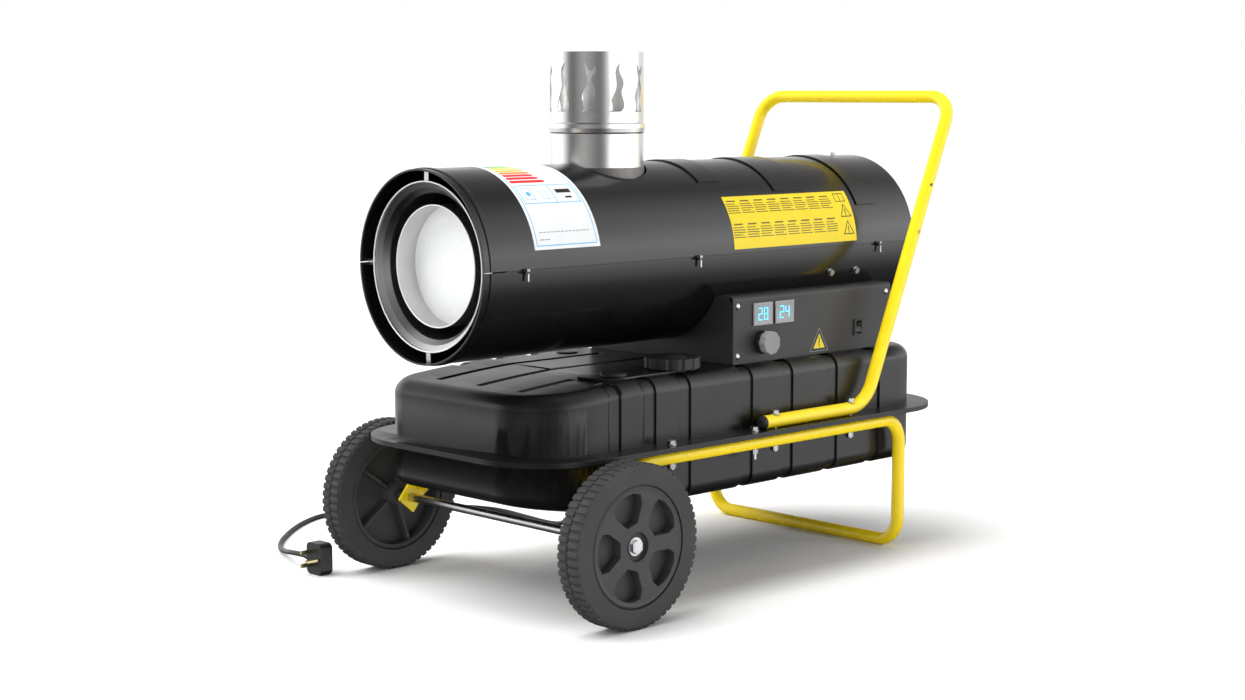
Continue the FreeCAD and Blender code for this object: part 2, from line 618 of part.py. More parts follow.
def roundedFace(left, right, front, rear, corners, z):
    """Rectangle with its own radius at each corner, in the order front right, rear right,
    rear left, front left."""
    centres = [(right - corners[0], front + corners[0], -90), (right - corners[1], rear - corners[1], 0),
               (left + corners[2], rear - corners[2], 90), (left + corners[3], front + corners[3], 180)]
    edges, ends = [], []
    for (cx, cy, start), radius in zip(centres, corners):
        spots = [Vector(cx + radius * math.cos(math.radians(start + step)),
                        cy + radius * math.sin(math.radians(start + step)), z) for step in (0, 45, 90)]
        edges.append(Part.Arc(*spots).toShape())
        ends.append((spots[0], spots[2]))
    lines = [Part.LineSegment(ends[i][1], ends[(i + 1) % 4][0]).toShape() for i in range(4)]
    wire = [edges[0], lines[0], edges[1], lines[1], edges[2], lines[2], edges[3], lines[3]]
    return Part.Face(Part.Wire(wire))


def tankSolid(inset, upper):
    near, far = num["tankNearCorner"] - inset, num["tankCorner"] - inset
    half = num["tankHalf"] - inset
    face = roundedFace(-half, half, num["tankFront"] + inset, num["tankRear"] - inset,
                       [near, far, far, far], flangeMid)
    end = (num["tankTop"] - inset) if upper else (num["tankBottom"] + inset)
    solid = face.extrude(Vector(0, 0, end - flangeMid))
    rim = [edge for edge in solid.Edges
           if all(abs(vertex.Z - end) < 1e-6 for vertex in edge.Vertexes)]
    return solid.makeFillet(num["tankEdge"] - inset, rim)


def ribbedTank(inset, upper):
    """The pressed half body: drawn channels run down both sides and over the edge."""
    plain = tankSolid(inset, upper)
    deep = tankSolid(inset + num["channelDepth"], upper)
    half = num["channelWidth"] / 2 + inset
    slabs = []
    for y in channelSpots:
        for side in (-1, 1):
            low, high = sorted((side * (num["tankHalf"] - 38 - inset), side * (num["tankHalf"] + 5)))
            slabs.append(brick((low, y - half, 100), (high, y + half, 400)))
    if upper:
        for x, rear in grooveSpots:
            slabs.append(brick((x - 8 - inset, -400 - inset, 300), (x + 8 + inset, rear + inset, 400)))
    slabCut = slabs[0].multiFuse(slabs[1:])
    return plain.cut(slabCut).fuse(deep)


def tankFlange(low, high):
    face = roundedFace(-num["flangeHalf"], num["flangeHalf"], num["flangeFront"], num["flangeRear"],
                       [num["flangeCorner"]] * 4, low)
    return face.extrude(Vector(0, 0, high - low))


frameBoltY = {"single": (-195.4, -6.1), "through": (43.1, 232.9)}
boltHoles = [cylinder(4.1, 60, (side * num["frameHalf"], y, 215))
             for side in (-1, 1) for pair in frameBoltY.values() for y in pair]

capX, capY = num["capX"], num["capY"]
gaugeAt, ventAt = (135, -240), (-140, -84)
plateauTop = num["tankTop"] + num["plateauRise"]
plateau = roundedFace(86, 164, -283, -58, [38, 38, 38, 20], num["tankTop"] - 1)
plateau = plateau.extrude(Vector(0, 0, num["plateauRise"] + 1))
upperTank = ribbedTank(0, True).fuse(tankFlange(flangeMid, num["flangeTop"])).fuse(plateau)
upperTank = upperTank.cut(ribbedTank(num["tankWall"], True))
for spot, radius in (((capX, capY), 27), (gaugeAt, 12), (ventAt, 5), (pickupAt, 4.2)):
    upperTank = upperTank.cut(cylinder(radius, 30, (spot[0], spot[1], num["tankTop"] - 15)))
for hole in boltHoles:
    upperTank = upperTank.cut(hole)
shaped("tank_upper", upperTank)

lowerTank = ribbedTank(0, False).fuse(tankFlange(num["flangeTop"] - 2 * num["flangeSheet"], flangeMid))
lowerTank = lowerTank.cut(ribbedTank(num["tankWall"], False))
lowerTank = lowerTank.cut(cylinder(8, 30, (0, 380, num["tankBottom"] - 15)))
for hole in boltHoles:
    lowerTank = lowerTank.cut(hole)
shaped("tank_lower", lowerTank)

top = dim["tankTop"]
raised = top + dim["plateauRise"]
lathe("filler_neck", [(24, -12), (27, -12), (27, 0), (33, 0), (33, 1.5), (28, 1.5), (28, 7), (24, 7)],
      (dim["capX"], dim["capY"], raised))
lathe("filler_strainer", [(21.5, -70), (24, -70), (24, 5.6), (21.5, 5.6)], (dim["capX"], dim["capY"], raised))
capHigh, capLobes = 17, 14
capBody = cylinder(num["capRadius"], capHigh, (0, 0, 0))
dome = Part.makeSphere(60, Vector(0, 0, capHigh + 5.5 - 60)).common(cylinder(24, 40, (0, 0, capHigh - 2)))
capBody = capBody.fuse(dome)
for i in range(capLobes):
    angle = math.radians(360 / capLobes * i)
    reach = num["capRadius"] + 4.6
    capBody = capBody.cut(cylinder(7, capHigh, (reach * math.cos(angle), reach * math.sin(angle), 0)))
capBody = capBody.cut(cylinder(28.4, 6.6, (0, 0, 0)))
capBody.Placement = Placement(Vector(capX, capY, plateauTop + 1.9), Rotation())
shaped("filler_cap", capBody)

lathe("fuel_gauge", [(0, -60), (3, -60), (3, -8), (11.9, -8), (11.9, 0), (21.5, 0), (21.5, 3.5), (19.5, 5),
      (0, 5)], (gaugeAt[0], gaugeAt[1], raised))
lathe("tank_vent", [(0, -6), (4.9, -6), (4.9, 0), (18, 0), (18, 2), (15, 3), (0, 3)], (ventAt[0], ventAt[1], top))
lathe("fuel_pickup", [(0, -180), (14, -180), (14, -160), (4.2, -156), (4.2, 6), (2.6, 6), (2.6, -158), (0, -158)],
      (pickupAt[0], pickupAt[1], top))
lathe("drain_plug", [(0, -9), (11, -9), (11, 0), (7.9, 0), (7.9, 8), (0, 8)], (0, 380, dim["tankBottom"]))

# Fuel line: out of the pickup, through the barrel's underside and up to the pump.
pumpNose = motorFront - 44
hoseRoute = [(pickupAt[0], pickupAt[1], num["tankTop"] + 6), (-90, 219, 378), (-82, 210, 400), (-70, 200, 422)]
hoseRoute += [(-54, 192, 446), (-32, 186, 468), (-9, 182, 482), (0, 181, 500.3)]
hoseWire, _ = routeWire(hoseRoute)
shaped("fuel_hose", sweep(hoseWire, 3.5))
lowerNode = nodes["barrel_lower"]
lowerNode.Shape = lowerNode.Shape.cut(Part.makeSphere(10, Vector(-80, 208, 404)))
straight = Part.LineSegment(Vector(0, num["drumRear"] + 8, axisZ), Vector(0, pumpNose, axisZ))
shaped("nozzle_pipe", sweep(Part.Wire([straight.toShape()]), 3))

# ---- Frame -----------------------------------------------------------------------------------------

half = num["frameHalf"]
tube = num["tubeRadius"]
standZ = num["flangeTop"] - 2 * num["flangeSheet"] - tube
handleZ = num["flangeTop"] + tube
axleZ = num["wheelRadius"]
boltHole = 4.1


def bentTube(label, side, radii, holes):
    """A hollow tube that runs down one side of the machine and back up the other."""
    points = [(half, y, z) for y, z in side] + [(-half, y, z) for y, z in reversed(side)]
    wire, _ = routeWire(points, radii + list(reversed(radii)))
    shape = sweep(wire, tube).cut(sweep(wire, tube - num["tubeWall"]))
    for hole in holes:
        shape = shape.cut(hole)
    return shaped(label, shape)


handleHoles = [cylinder(boltHole, 60, (side * half, y, 240)) for side in (-1, 1)
               for y in frameBoltY["through"]]
bentTube("handle_tube", [(num["handleFront"], handleZ), (num["handleBendY"], handleZ),
                         (num["crossbarY"], num["crossbarZ"])], [num["handleBend"], num["cornerBend"]],
         handleHoles)
standHoles = [cylinder(boltHole, 60, (side * half, y, 200)) for side in (-1, 1)
              for pair in frameBoltY.values() for y in pair]
bentTube("stand_tube", [(-341.35, 139), (num["standFront"], standZ), (num["standRear"], standZ),
                        (num["standRear"], tube)], [40, 42, 42], standHoles)

caps = []
for side in (-1, 1):
    at = (side * half, num["handleFront"], handleZ)
    dome = Part.makeSphere(11.2, Vector(*at)).common(
        brick((side * half - 20, at[1] - 9.2, 200), (side * half + 20, at[1], 300)))
    dome = dome.common(cylinder(tube, 40, (at[0], at[1] - 20, at[2]), yWay))
    caps.append(dome.fuse(cylinder(tube - num["tubeWall"], 14, at, yWay)))
group("handle_end_caps", caps)

alongLeg = Vector(0, 0.636, 0.772)
plateFoot = [Vector(0, -376.75, 123.3), Vector(0, -348.25, 99.3)]
plateThick, plateLong = 5, 78
axleBore = cylinder(num["axleRadius"], 700, (-350, num["axleY"], axleZ), xWay)
plates = []
for side in (-1, 1):
    corners = plateFoot + [foot + alongLeg * plateLong for foot in reversed(plateFoot)]
    plate = Part.Face(Part.makePolygon(corners + corners[:1])).extrude(Vector(plateThick, 0, 0))
    plate.translate(Vector(half + tube if side > 0 else -half - tube - plateThick, 0, 0))
    plates.append(plate.cut(axleBore))
group("axle_plates", plates)

axleEnd = num["trackHalf"] - 1.5
axle = cylinder(num["axleRadius"], 2 * axleEnd, (-axleEnd, num["axleY"], axleZ), xWay)
hubSet = 8.4
hubFace = num["trackHalf"] - hubSet
nuts = []
for side in (-1, 1):
    way = Vector(side, 0, 0)
    shoulder = (side * (half + tube + plateThick), num["axleY"], axleZ)
    axle = axle.fuse(pipeRing(11, num["axleRadius"], 22, shoulder, way))
    washer = pipeRing(14, num["axleRadius"], 1.5, (side * (hubFace + 0.2), num["axleY"], axleZ), way)
    nut = hexPrism(19, 5, (side * (hubFace + 1.7), num["axleY"], axleZ), way)
    nuts.append(washer.fuse(nut.cut(axleBore)))
shaped("axle", axle)
group("axle_nuts", nuts)

# ---- Wheels ----------------------------------------------------------------------------------------

width = dim["wheelWidth"]
rimR = dim["rimRadius"]
bore = 7.05
rimProfile = [(bore, -6), (16, -6), (20, 19), (rimR - 8, 21), (rimR - 9, 2), (rimR - 4, 0), (rimR, 3),
              (rimR, width - 3), (rimR - 4, width), (rimR - 9, width - 1), (22, width - 2),
              (21.6, width - hubSet), (bore, width - hubSet)]
tyreProfile = [(rimR, 3), (rimR + 16, 0.6), (rimR + 26, 3), (dim["wheelRadius"], 9),
               (dim["wheelRadius"], width - 9), (rimR + 26, width - 3), (rimR + 16, width - 0.6),
               (rimR, width - 3)]


def pocket(angle, deep):
    """A six-sided well with rounded corners, narrow by the hub and arched along the rim."""
    corners = [Vector(*corner, 0) for corner in pocketSide]
    corners += [Vector(out, -across, 0) for out, across in reversed(pocketSide[:-1])]
    shape = Part.Face(Part.makePolygon(corners + corners[:1])).extrude(Vector(0, 0, deep))
    upright = [edge for edge in shape.Edges if abs(edge.tangentAt(edge.FirstParameter).z) > 0.99]
    shape = shape.makeFillet(2.5, upright)
    shape.rotate(Vector(0, 0, 0), zWay, angle)
    return shape


pocketSide = [(35, 11), (59, 28), (73, 29), (80.5, 16), (83, 0)]
pocketDeep = 16.5
for name, side in (("lead_side", -1), ("panel_side", 1)):
    turn = alongX if side > 0 else alongMinusX
    at = (side * (dim["trackHalf"] - width), dim["axleY"], dim["wheelRadius"])
    blank = lathe(name + "_rim_blank", rimProfile, at, turn, register=False)
    doc.recompute()
    rim = blank.Shape.copy()
    for i in range(5):
        dish = pocket(72 * i + 54, pocketDeep + 4)
        dish.translate(Vector(0, 0, num["wheelWidth"] - 2 - pocketDeep))
        dish.Placement = blank.Placement.multiply(dish.Placement)
        rim = rim.cut(dish)
        spoke = brick((17, -2.5, 6), (num["rimRadius"] - 7, 2.5, 22))
        spoke.Placement = blank.Placement.multiply(Placement(Vector(), Rotation(zWay, 72 * i + 90)))
        rim = rim.fuse(spoke)
    rim = rim.cut(cylinder(num["axleRadius"] + 0.05, 700, (-350, num["axleY"], axleZ), xWay))
    shaped(name + "_rim", rim)
    lathe(name + "_tyre", tyreProfile, at, turn)

# ---- Frame bolts -----------------------------------------------------------------------------------

frameBolts = []
nutZ = standZ - tube
for side in (-1, 1):
    for kind, pair in frameBoltY.items():
        headZ = num["flangeTop"] if kind == "single" else handleZ + tube
        for y in pair:
            spare = 16 if y == frameBoltY["single"][1] else 9
            bolt = cylinder(4, headZ - nutZ + spare, (side * half, y, nutZ - spare))
            bolt = bolt.fuse(cylinder(8, 1.6, (side * half, y, headZ)))
            bolt = bolt.fuse(hexPrism(13, 5.3, (side * half, y, headZ + 1.6)))
            bolt = bolt.fuse(hexPrism(13, 6.5, (side * half, y, nutZ - 6.5)))
            frameBolts.append(bolt.cut(nodes["handle_tube"].Shape))
group("frame_bolts", frameBolts)

# ---- Supply lead, its spare turns and its plug -------------------------------------------------------

lead = num["leadDiameter"] / 2
leadTip = -num["boxHalf"] - 30
coilX, coilY, coilR = num["coilX"], num["coilY"], num["coilRadius"]
coilTurns = 2.25
coilRise = coilTurns * num["leadDiameter"]
plugLeft, plugRight, plugFace, plugDeep, plugHigh = -342, -302, -484.35, 25, 53
reliefLong = 20
reliefAt = (plugLeft, -474, 25)

towardsCoil = [(leadTip, glandY, glandZ), (leadTip - 30, glandY, glandZ - 2), (-252, 47, 370), (-265, 47.5, 335),
               (-266, 48, 285), (-262, 48.5, 200), (-261, 49, 125), (-263, 50, 70), (-274, 52, 32),
               (-301, 54, 10), (-341, 58, lead), (-412, 65, lead), (-494, 74, lead), (-547, 58, lead),
               (-588, 32, lead),
               (coilX, coilY + coilR, lead)]
fromCoil = [(coilX - coilR, coilY, lead + coilRise), (-672, -62, 17), (-679, -106, 6.5), (-689, -155, lead),
            (-690, -208, lead), (-662, -262, lead), (-630, -306, lead), (-592, -350, lead),
            (-551, -391, lead), (-505, -424, 5.5), (-452, -450, 13), (-403, -472, 23),
            (reliefAt[0] - reliefLong, reliefAt[1], reliefAt[2])]
for name, route in (("cord_to_coil", towardsCoil), ("cord_to_plug", fromCoil)):
    wire, radii = routeWire(route)
    cordShape = sweep(wire, lead)
    shaped(name, cordShape)
    share = cordShape.Volume / (math.pi * lead ** 2 * wire.Length)
    print(name, "radii", [round(r) for r in radii], "length", round(wire.Length), "volume share", round(share, 3))
shaped("cord_coil", pipeRing(coilR + lead, coilR - lead, lead * 2 + coilRise, (coilX, coilY, 0)))

plug = brick((plugLeft, plugFace, 0), (plugRight, plugFace + plugDeep, plugHigh))
plug = plug.makeFillet(9, [edge for edge in plug.Edges if abs(edge.tangentAt(edge.FirstParameter).y) > 0.99])
rearRim = [edge for edge in plug.Edges if all(abs(v.Y - plugFace - plugDeep) < 1e-6 for v in edge.Vertexes)]
plug = plug.makeFillet(4, rearRim)
relief = Part.makeCone(7.5, 4.6, reliefLong, Vector(*reliefAt), Vector(-1, 0, 0))
shaped("plug_body", plug.fuse(relief))
pinSets = [((-335, -331), (12.2, 18.6), 18), ((-335, -331), (34.4, 40.8), 18), ((-314.8, -306.8), (24.5, 28.5), 23)]
pins = [brick((x[0], plugFace - long, z[0]), (x[1], plugFace, z[1])) for x, z, long in pinSets]
group("plug_pins", pins)

# ---- Checks and files --------------------------------------------------------------------------------

doc.recompute()
for thing in doc.Objects:
    if "Invalid" in thing.State or "Error" in thing.State:
        raise SystemExit("bad state: %s %s" % (thing.Label, thing.State))
for label, thing in nodes.items():
    if thing.Shape.isNull() or not thing.Shape.isValid() or not thing.Shape.Solids:
        raise SystemExit("bad shape: " + label)
for label, thing in nodes.items():
    thing.Shape.exportStep("parts/%s.step" % label)
own = [thing.Shape for label, thing in nodes.items() if not label.startswith(("cord_", "plug_"))]
whole = Part.makeCompound(own).BoundBox
print("own box", [round(v, 2) for v in (whole.XMin, whole.XMax, whole.YMin, whole.YMax, whole.ZMin, whole.ZMax)])
print(len(nodes), "sub-parts written")
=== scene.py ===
import json
import math

import bmesh
import bpy
from mathutils import Matrix, Vector


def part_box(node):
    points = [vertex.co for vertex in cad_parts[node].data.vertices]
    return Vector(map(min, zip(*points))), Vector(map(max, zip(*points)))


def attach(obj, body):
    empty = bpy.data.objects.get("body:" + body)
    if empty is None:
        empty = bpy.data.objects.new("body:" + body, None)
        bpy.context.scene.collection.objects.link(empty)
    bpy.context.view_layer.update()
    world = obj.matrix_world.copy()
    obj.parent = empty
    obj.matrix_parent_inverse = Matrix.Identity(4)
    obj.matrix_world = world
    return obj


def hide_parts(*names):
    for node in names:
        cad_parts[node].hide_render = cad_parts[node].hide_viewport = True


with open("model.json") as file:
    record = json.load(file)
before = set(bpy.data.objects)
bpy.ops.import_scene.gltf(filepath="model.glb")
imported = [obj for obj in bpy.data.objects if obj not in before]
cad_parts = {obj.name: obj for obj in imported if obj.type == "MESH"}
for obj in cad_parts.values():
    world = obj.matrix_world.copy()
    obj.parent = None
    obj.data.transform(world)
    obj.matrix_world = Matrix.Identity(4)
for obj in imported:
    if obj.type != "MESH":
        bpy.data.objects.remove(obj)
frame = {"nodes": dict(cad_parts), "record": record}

scene = bpy.context.scene
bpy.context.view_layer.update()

mm = 0.001
barrelAxis = Vector((0, 0, 0.528))  # the barrel runs along Y through here
barrelRadius = 0.1477

# ---- picture, lights and floor

view = {
    "place": (2.4384, -2.46285, 0.7887),
    "turn": (82.94, 0, 45.77),
    "lens": 60.22,
    "sensor": 36,
}
studio = {
    "floorColour": (0.93, 0.93, 0.93, 1),
    "floorSize": 60,
    "floorShade": 0.985,  # how much darker its faint clouds are
    "floorClouds": (0.6, 3, 0.5),  # noise scale, detail, roughness
    "backdrop": 1.0,  # what the camera sees behind the heater
    "fill": 0.5,  # light from all round on matt surfaces
    "sunPower": 2.75,
    "sunSpread": 50,
    "sunTurn": (30, -14, -20),
    # name, place, aim, width, height, watts
    "softboxes": [
        ("topBox", (0.0, 0.2, 3.1), (0.0, 0.0, 0.5), 1.4, 3.2, 34),
        ("frontBox", (0.9, -3.6, 1.5), (0.0, 0.0, 0.4), 1.6, 1.8, 26),
        ("rightBox", (3.6, 1.9, 1.5), (0.0, 0.0, 0.5), 1.2, 2.4, 26),
    ],
    # what gloss and metal mirror: a ring of white walls, open where the viewer stands
    "mirrorFront": (0.71, -0.70, 0),
    "mirrorSide": (0.70, 0.71, 0),
    "mirrorPower": 2.9,
    "mirrorRing": [(0, 0.34), (0.083, 0.5), (0.167, 0.66), (0.236, 0.62), (0.30, 0.10),
                   (0.33, 0.055), (0.41, 0.20), (0.525, 0.07), (0.56, 0.14), (0.61, 0.85),
                   (0.79, 0.95), (0.86, 0.36), (1, 0.34)],
    "mirrorHeight": [(0.12, 0.0), (0.30, 0.10), (0.40, 0.45), (0.50, 0.85), (0.58, 1.0), (0.72, 0.60),
                     (0.86, 0.30), (1, 0.26)],
}


def aimAt(place, target):
    return (Vector(target) - Vector(place)).to_track_quat("-Z", "Y").to_euler()


def buildStudio():
    camera = bpy.data.objects.new("camera", bpy.data.cameras.new("camera"))
    scene.collection.objects.link(camera)
    camera.location = view["place"]
    camera.rotation_euler = [math.radians(a) for a in view["turn"]]
    camera.data.lens = view["lens"]
    camera.data.sensor_width = view["sensor"]
    camera.data.dof.use_dof = False
    scene.camera = camera
    scene.view_settings.view_transform = "Standard"
    scene.view_settings.look = "None"

    for name, place, aim, wide, high, watts in studio["softboxes"]:
        light = bpy.data.lights.new(name, "AREA")
        light.shape = "RECTANGLE"
        light.size, light.size_y = wide, high
        light.energy = watts
        box = bpy.data.objects.new(name, light)
        scene.collection.objects.link(box)
        box.location = place
        box.rotation_euler = aimAt(place, aim)
        box.visible_glossy = False
    sun = bpy.data.lights.new("skyLight", "SUN")
    sun.energy = studio["sunPower"]
    sun.angle = math.radians(studio["sunSpread"])
    lamp = bpy.data.objects.new("skyLight", sun)
    scene.collection.objects.link(lamp)
    lamp.rotation_euler = [math.radians(a) for a in studio["sunTurn"]]
    lamp.visible_glossy = False

    bpy.ops.object.select_all(action="DESELECT")
    bpy.ops.mesh.primitive_plane_add(size=studio["floorSize"], location=(0, 0, 0))
    floor = bpy.context.object
    floor.name = "floor"
    floor.visible_glossy = False  # black paint stays black, with no pale floor mirrored in it
    return floor


class Link:
    # one output socket, with arithmetic that adds Math nodes
    def __init__(self, finish, socket):
        self.finish = finish
        self.socket = socket

    def __add__(self, other):
        return self.finish.maths("ADD", self, other)

    def __radd__(self, other):
        return self.finish.maths("ADD", other, self)

    def __sub__(self, other):
        return self.finish.maths("SUBTRACT", self, other)

    def __rsub__(self, other):
        return self.finish.maths("SUBTRACT", other, self)

    def __mul__(self, other):
        return self.finish.maths("MULTIPLY", self, other)

    def __rmul__(self, other):
        return self.finish.maths("MULTIPLY", other, self)


class Finish:
    # one material, or the world, put together node by node
    def __init__(self, name, owner=None):
        self.owner = owner or bpy.data.materials.new(name)
        self.owner.use_nodes = True
        self.tree = self.owner.node_tree
        self.tree.nodes.clear()

    def node(self, kind, settings=None, inputs=None, out=0):
        made = self.tree.nodes.new(kind)
        for key, value in (settings or {}).items():
            if key == "stops":
                ramp = made.color_ramp
                while len(ramp.elements) < len(value):
                    ramp.elements.new(0.5)
                for element, (at, colour) in zip(ramp.elements, value):
                    element.position = at
                    element.color = colour
            else:
                setattr(made, key, value)
        for key, value in (inputs or {}).items():
            if isinstance(value, Link):
                self.tree.links.new(value.socket, made.inputs[key])
            else:
                made.inputs[key].default_value = value
        return Link(self, made.outputs[out])

    def maths(self, operation, first, second):
        return self.node("ShaderNodeMath", {"operation": operation}, {0: first, 1: second})

    def coords(self):
        return self.node("ShaderNodeTexCoord", out="Object")

    def stretched(self, scale):
        return self.node("ShaderNodeMapping", {}, {"Vector": self.coords(), "Scale": scale})

    def noise(self, scale, detail=3, rough=0.55, stretch=(1, 1, 1)):
        return self.node("ShaderNodeTexNoise", {}, {
            "Vector": self.stretched(stretch), "Scale": scale, "Detail": detail, "Roughness": rough})

    def spread(self, value, low, high, fromLow=0.3, fromHigh=0.7):
        return self.node("ShaderNodeMapRange", {}, {0: value, 1: fromLow, 2: fromHigh, 3: low, 4: high})

    def mix(self, factor, low, high):
        return self.node("ShaderNodeMix", {"data_type": "RGBA"}, {0: factor, 6: low, 7: high}, 2)

    def bump(self, height, strength, distance, edge=0):
        inputs = {"Height": height, "Strength": strength, "Distance": distance}
        if edge:
            inputs["Normal"] = self.node("ShaderNodeBevel", {"samples": 4}, {"Radius": edge})
        return self.node("ShaderNodeBump", {}, inputs)

    def surface(self, **inputs):
        names = {"colour": "Base Color", "rough": "Roughness", "metal": "Metallic", "coat": "Coat Weight",
                 "coatRough": "Coat Roughness", "specular": "Specular IOR Level", "normal": "Normal",
                 "glow": "Emission Color", "glowPower": "Emission Strength"}
        shader = self.node("ShaderNodeBsdfPrincipled", {}, {names[k]: v for k, v in inputs.items()})
        output = self.tree.nodes.new("ShaderNodeOutputMaterial")
        self.tree.links.new(shader.socket, output.inputs[0])
        return self.owner


def grey(level):
    return (level, level, level, 1)


def buildWorld():
    world = bpy.data.worlds.new("studioWorld")
    scene.world = world
    sky = Finish("sky", world)
    ray = sky.node("ShaderNodeLightPath", out="Is Camera Ray")
    mirror = sky.node("ShaderNodeLightPath", out="Is Glossy Ray")
    way = sky.node("ShaderNodeTexCoord", out="Generated")
    ahead, aside = [
        sky.node("ShaderNodeVectorMath", {"operation": "DOT_PRODUCT"}, {0: way, 1: studio[key]}, "Value")
        for key in ("mirrorFront", "mirrorSide")]
    round01 = sky.maths("ARCTAN2", aside, ahead) * (0.5 / math.pi) + 0.5
    up01 = sky.node("ShaderNodeSeparateXYZ", {}, {0: way}, 2) * 0.5 + 0.5
    ring, band = [
        sky.node("ShaderNodeValToRGB", {"stops": [(at, grey(v)) for at, v in studio[key]]}, {0: value})
        for key, value in (("mirrorRing", round01), ("mirrorHeight", up01))]
    glow = ring * band * studio["mirrorPower"]
    around = mirror * glow + (1 - mirror) * studio["fill"]
    level = ray * studio["backdrop"] + (1 - ray) * around
    back = sky.node("ShaderNodeBackground", {}, {0: grey(1), 1: level})
    output = sky.tree.nodes.new("ShaderNodeOutputWorld")
    sky.tree.links.new(back.socket, output.inputs[0])


floor = buildStudio()
ground = Finish("paleFloor")
cloud = ground.noise(*studio["floorClouds"])
pale = [c * studio["floorShade"] for c in studio["floorColour"][:3]] + [1]
floor.data.materials.append(ground.surface(colour=ground.mix(cloud, pale, studio["floorColour"]),
                                           rough=ground.spread(cloud, 0.85, 0.95), specular=0.1))
buildWorld()
print("studio ready")

# ---- finishes, one for each slot of the record

paints = {
    # slot: colour, roughness low and high, grain per metre, grain height, coat, specular
    "barrel_paint": ((0.0045, 0.0045, 0.005, 1), 0.16, 0.25, 700, 0.05, 0.25, 0.42),
    "tank_paint": ((0.0065, 0.0065, 0.007, 1), 0.27, 0.38, 1300, 0.12, 0.0, 0.45),
    "box_paint": ((0.021, 0.021, 0.022, 1), 0.36, 0.48, 1600, 0.16, 0.0, 0.42),
    "frame_paint": ((1.0, 0.74, 0.012, 1), 0.22, 0.3, 300, 0.02, 0.2, 0.4),
    "baffle_paint": ((0.82, 0.83, 0.83, 1), 0.42, 0.55, 900, 0.25, 0.0, 0.5),
    "rear_wire": ((0.012, 0.012, 0.013, 1), 0.3, 0.42, 900, 0.08, 0.0, 0.5),
    "motor_cast": ((0.05, 0.055, 0.06, 1), 0.5, 0.68, 420, 0.5, 0.0, 0.5),
}
plastics = {
    "black_plastic": ((0.016, 0.016, 0.017, 1), 0.34, 0.48, 1500, 0.12),
    "knob_plastic": ((0.24, 0.24, 0.245, 1), 0.36, 0.46, 1500, 0.1),
    "display_unit": ((0.30, 0.315, 0.32, 1), 0.2, 0.32, 900, 0.06),
    "circuit_green": ((0.02, 0.16, 0.06, 1), 0.25, 0.4, 700, 0.2),
    "wheel_plastic": ((0.045, 0.045, 0.045, 1), 0.5, 0.62, 1400, 0.22),
    "wheel_rubber": ((0.042, 0.042, 0.042, 1), 0.58, 0.72, 1100, 0.3),
    "hose_rubber": ((0.014, 0.014, 0.014, 1), 0.5, 0.65, 1100, 0.2),
    "lead_rubber": ((0.012, 0.012, 0.012, 1), 0.32, 0.48, 1300, 0.15),
    "plug_plastic": ((0.016, 0.016, 0.017, 1), 0.3, 0.42, 1300, 0.14),
    "ceramic_white": ((0.80, 0.78, 0.72, 1), 0.18, 0.28, 500, 0.05),
}
metals = {
    # slot: colour, roughness low and high, stretch of the brushing, brush height
    "liner_steel": ((0.74, 0.74, 0.73, 1), 0.26, 0.36, (160, 30, 160), 0.03),
    "exchanger_steel": ((0.22, 0.21, 0.20, 1), 0.4, 0.6, (60, 60, 60), 0.2),
    "flue_steel": ((0.86, 0.86, 0.85, 1), 0.16, 0.22, (30, 30, 500), 0.012),
    "zinc_plate": ((0.74, 0.75, 0.77, 1), 0.2, 0.36, (300, 300, 300), 0.08),
    "fan_alloy": ((0.62, 0.63, 0.64, 1), 0.25, 0.4, (60, 300, 60), 0.1),
    "brass_parts": ((0.72, 0.48, 0.20, 1), 0.2, 0.36, (200, 200, 200), 0.08),
    "plug_brass": ((0.80, 0.66, 0.36, 1), 0.16, 0.3, (200, 200, 200), 0.06),
}


wear = {
    # noise scale, detail and roughness
    "paintPatches": (7, 4, 0.6),  # broad variation in gloss, as rolled sheet and a sprayed coat have
    "paintDust": (38, 6, 0.7),
    "plasticWear": (26, 5, 0.65),
    "metalHaze": (9, 4, 0.6),
    "dustTint": 1.3, "plasticTint": 1.22, "metalTint": 0.86,  # how much the worn colour changes
    "paintEdge": 1.1 * mm, "plasticEdge": 0.8 * mm, "metalEdge": 0.7 * mm,  # soft edge seen in the light
}


def makePaint(name, colour, low, high, grain, height, coat, specular):
    made = Finish(name)
    patches = made.noise(*wear["paintPatches"])
    skin = made.noise(grain, 3, 0.5)
    dust = made.spread(made.noise(*wear["paintDust"]), 0, 1, 0.52, 0.8)
    tint = [min(1, c * wear["dustTint"] + 0.004) for c in colour[:3]] + [1]
    shade = made.mix(dust * 0.5, colour, tint)
    rough = made.spread(patches, low, high) + dust * 0.05
    return made.surface(colour=shade, rough=rough, coat=coat, coatRough=0.08, specular=specular,
                        normal=made.bump(skin, height, 0.0004, wear["paintEdge"]))


def makePlastic(name, colour, low, high, grain, height):
    made = Finish(name)
    skin = made.noise(grain, 2, 0.5)
    rubbed = made.spread(made.noise(*wear["plasticWear"]), 0, 1, 0.45, 0.75)
    tint = [c * wear["plasticTint"] for c in colour[:3]] + [1]
    return made.surface(colour=made.mix(rubbed, colour, tint),
                        rough=made.spread(made.noise(12, 3), low, high) + rubbed * 0.04,
                        specular=0.4, normal=made.bump(skin, height, 0.0004, wear["plasticEdge"]))


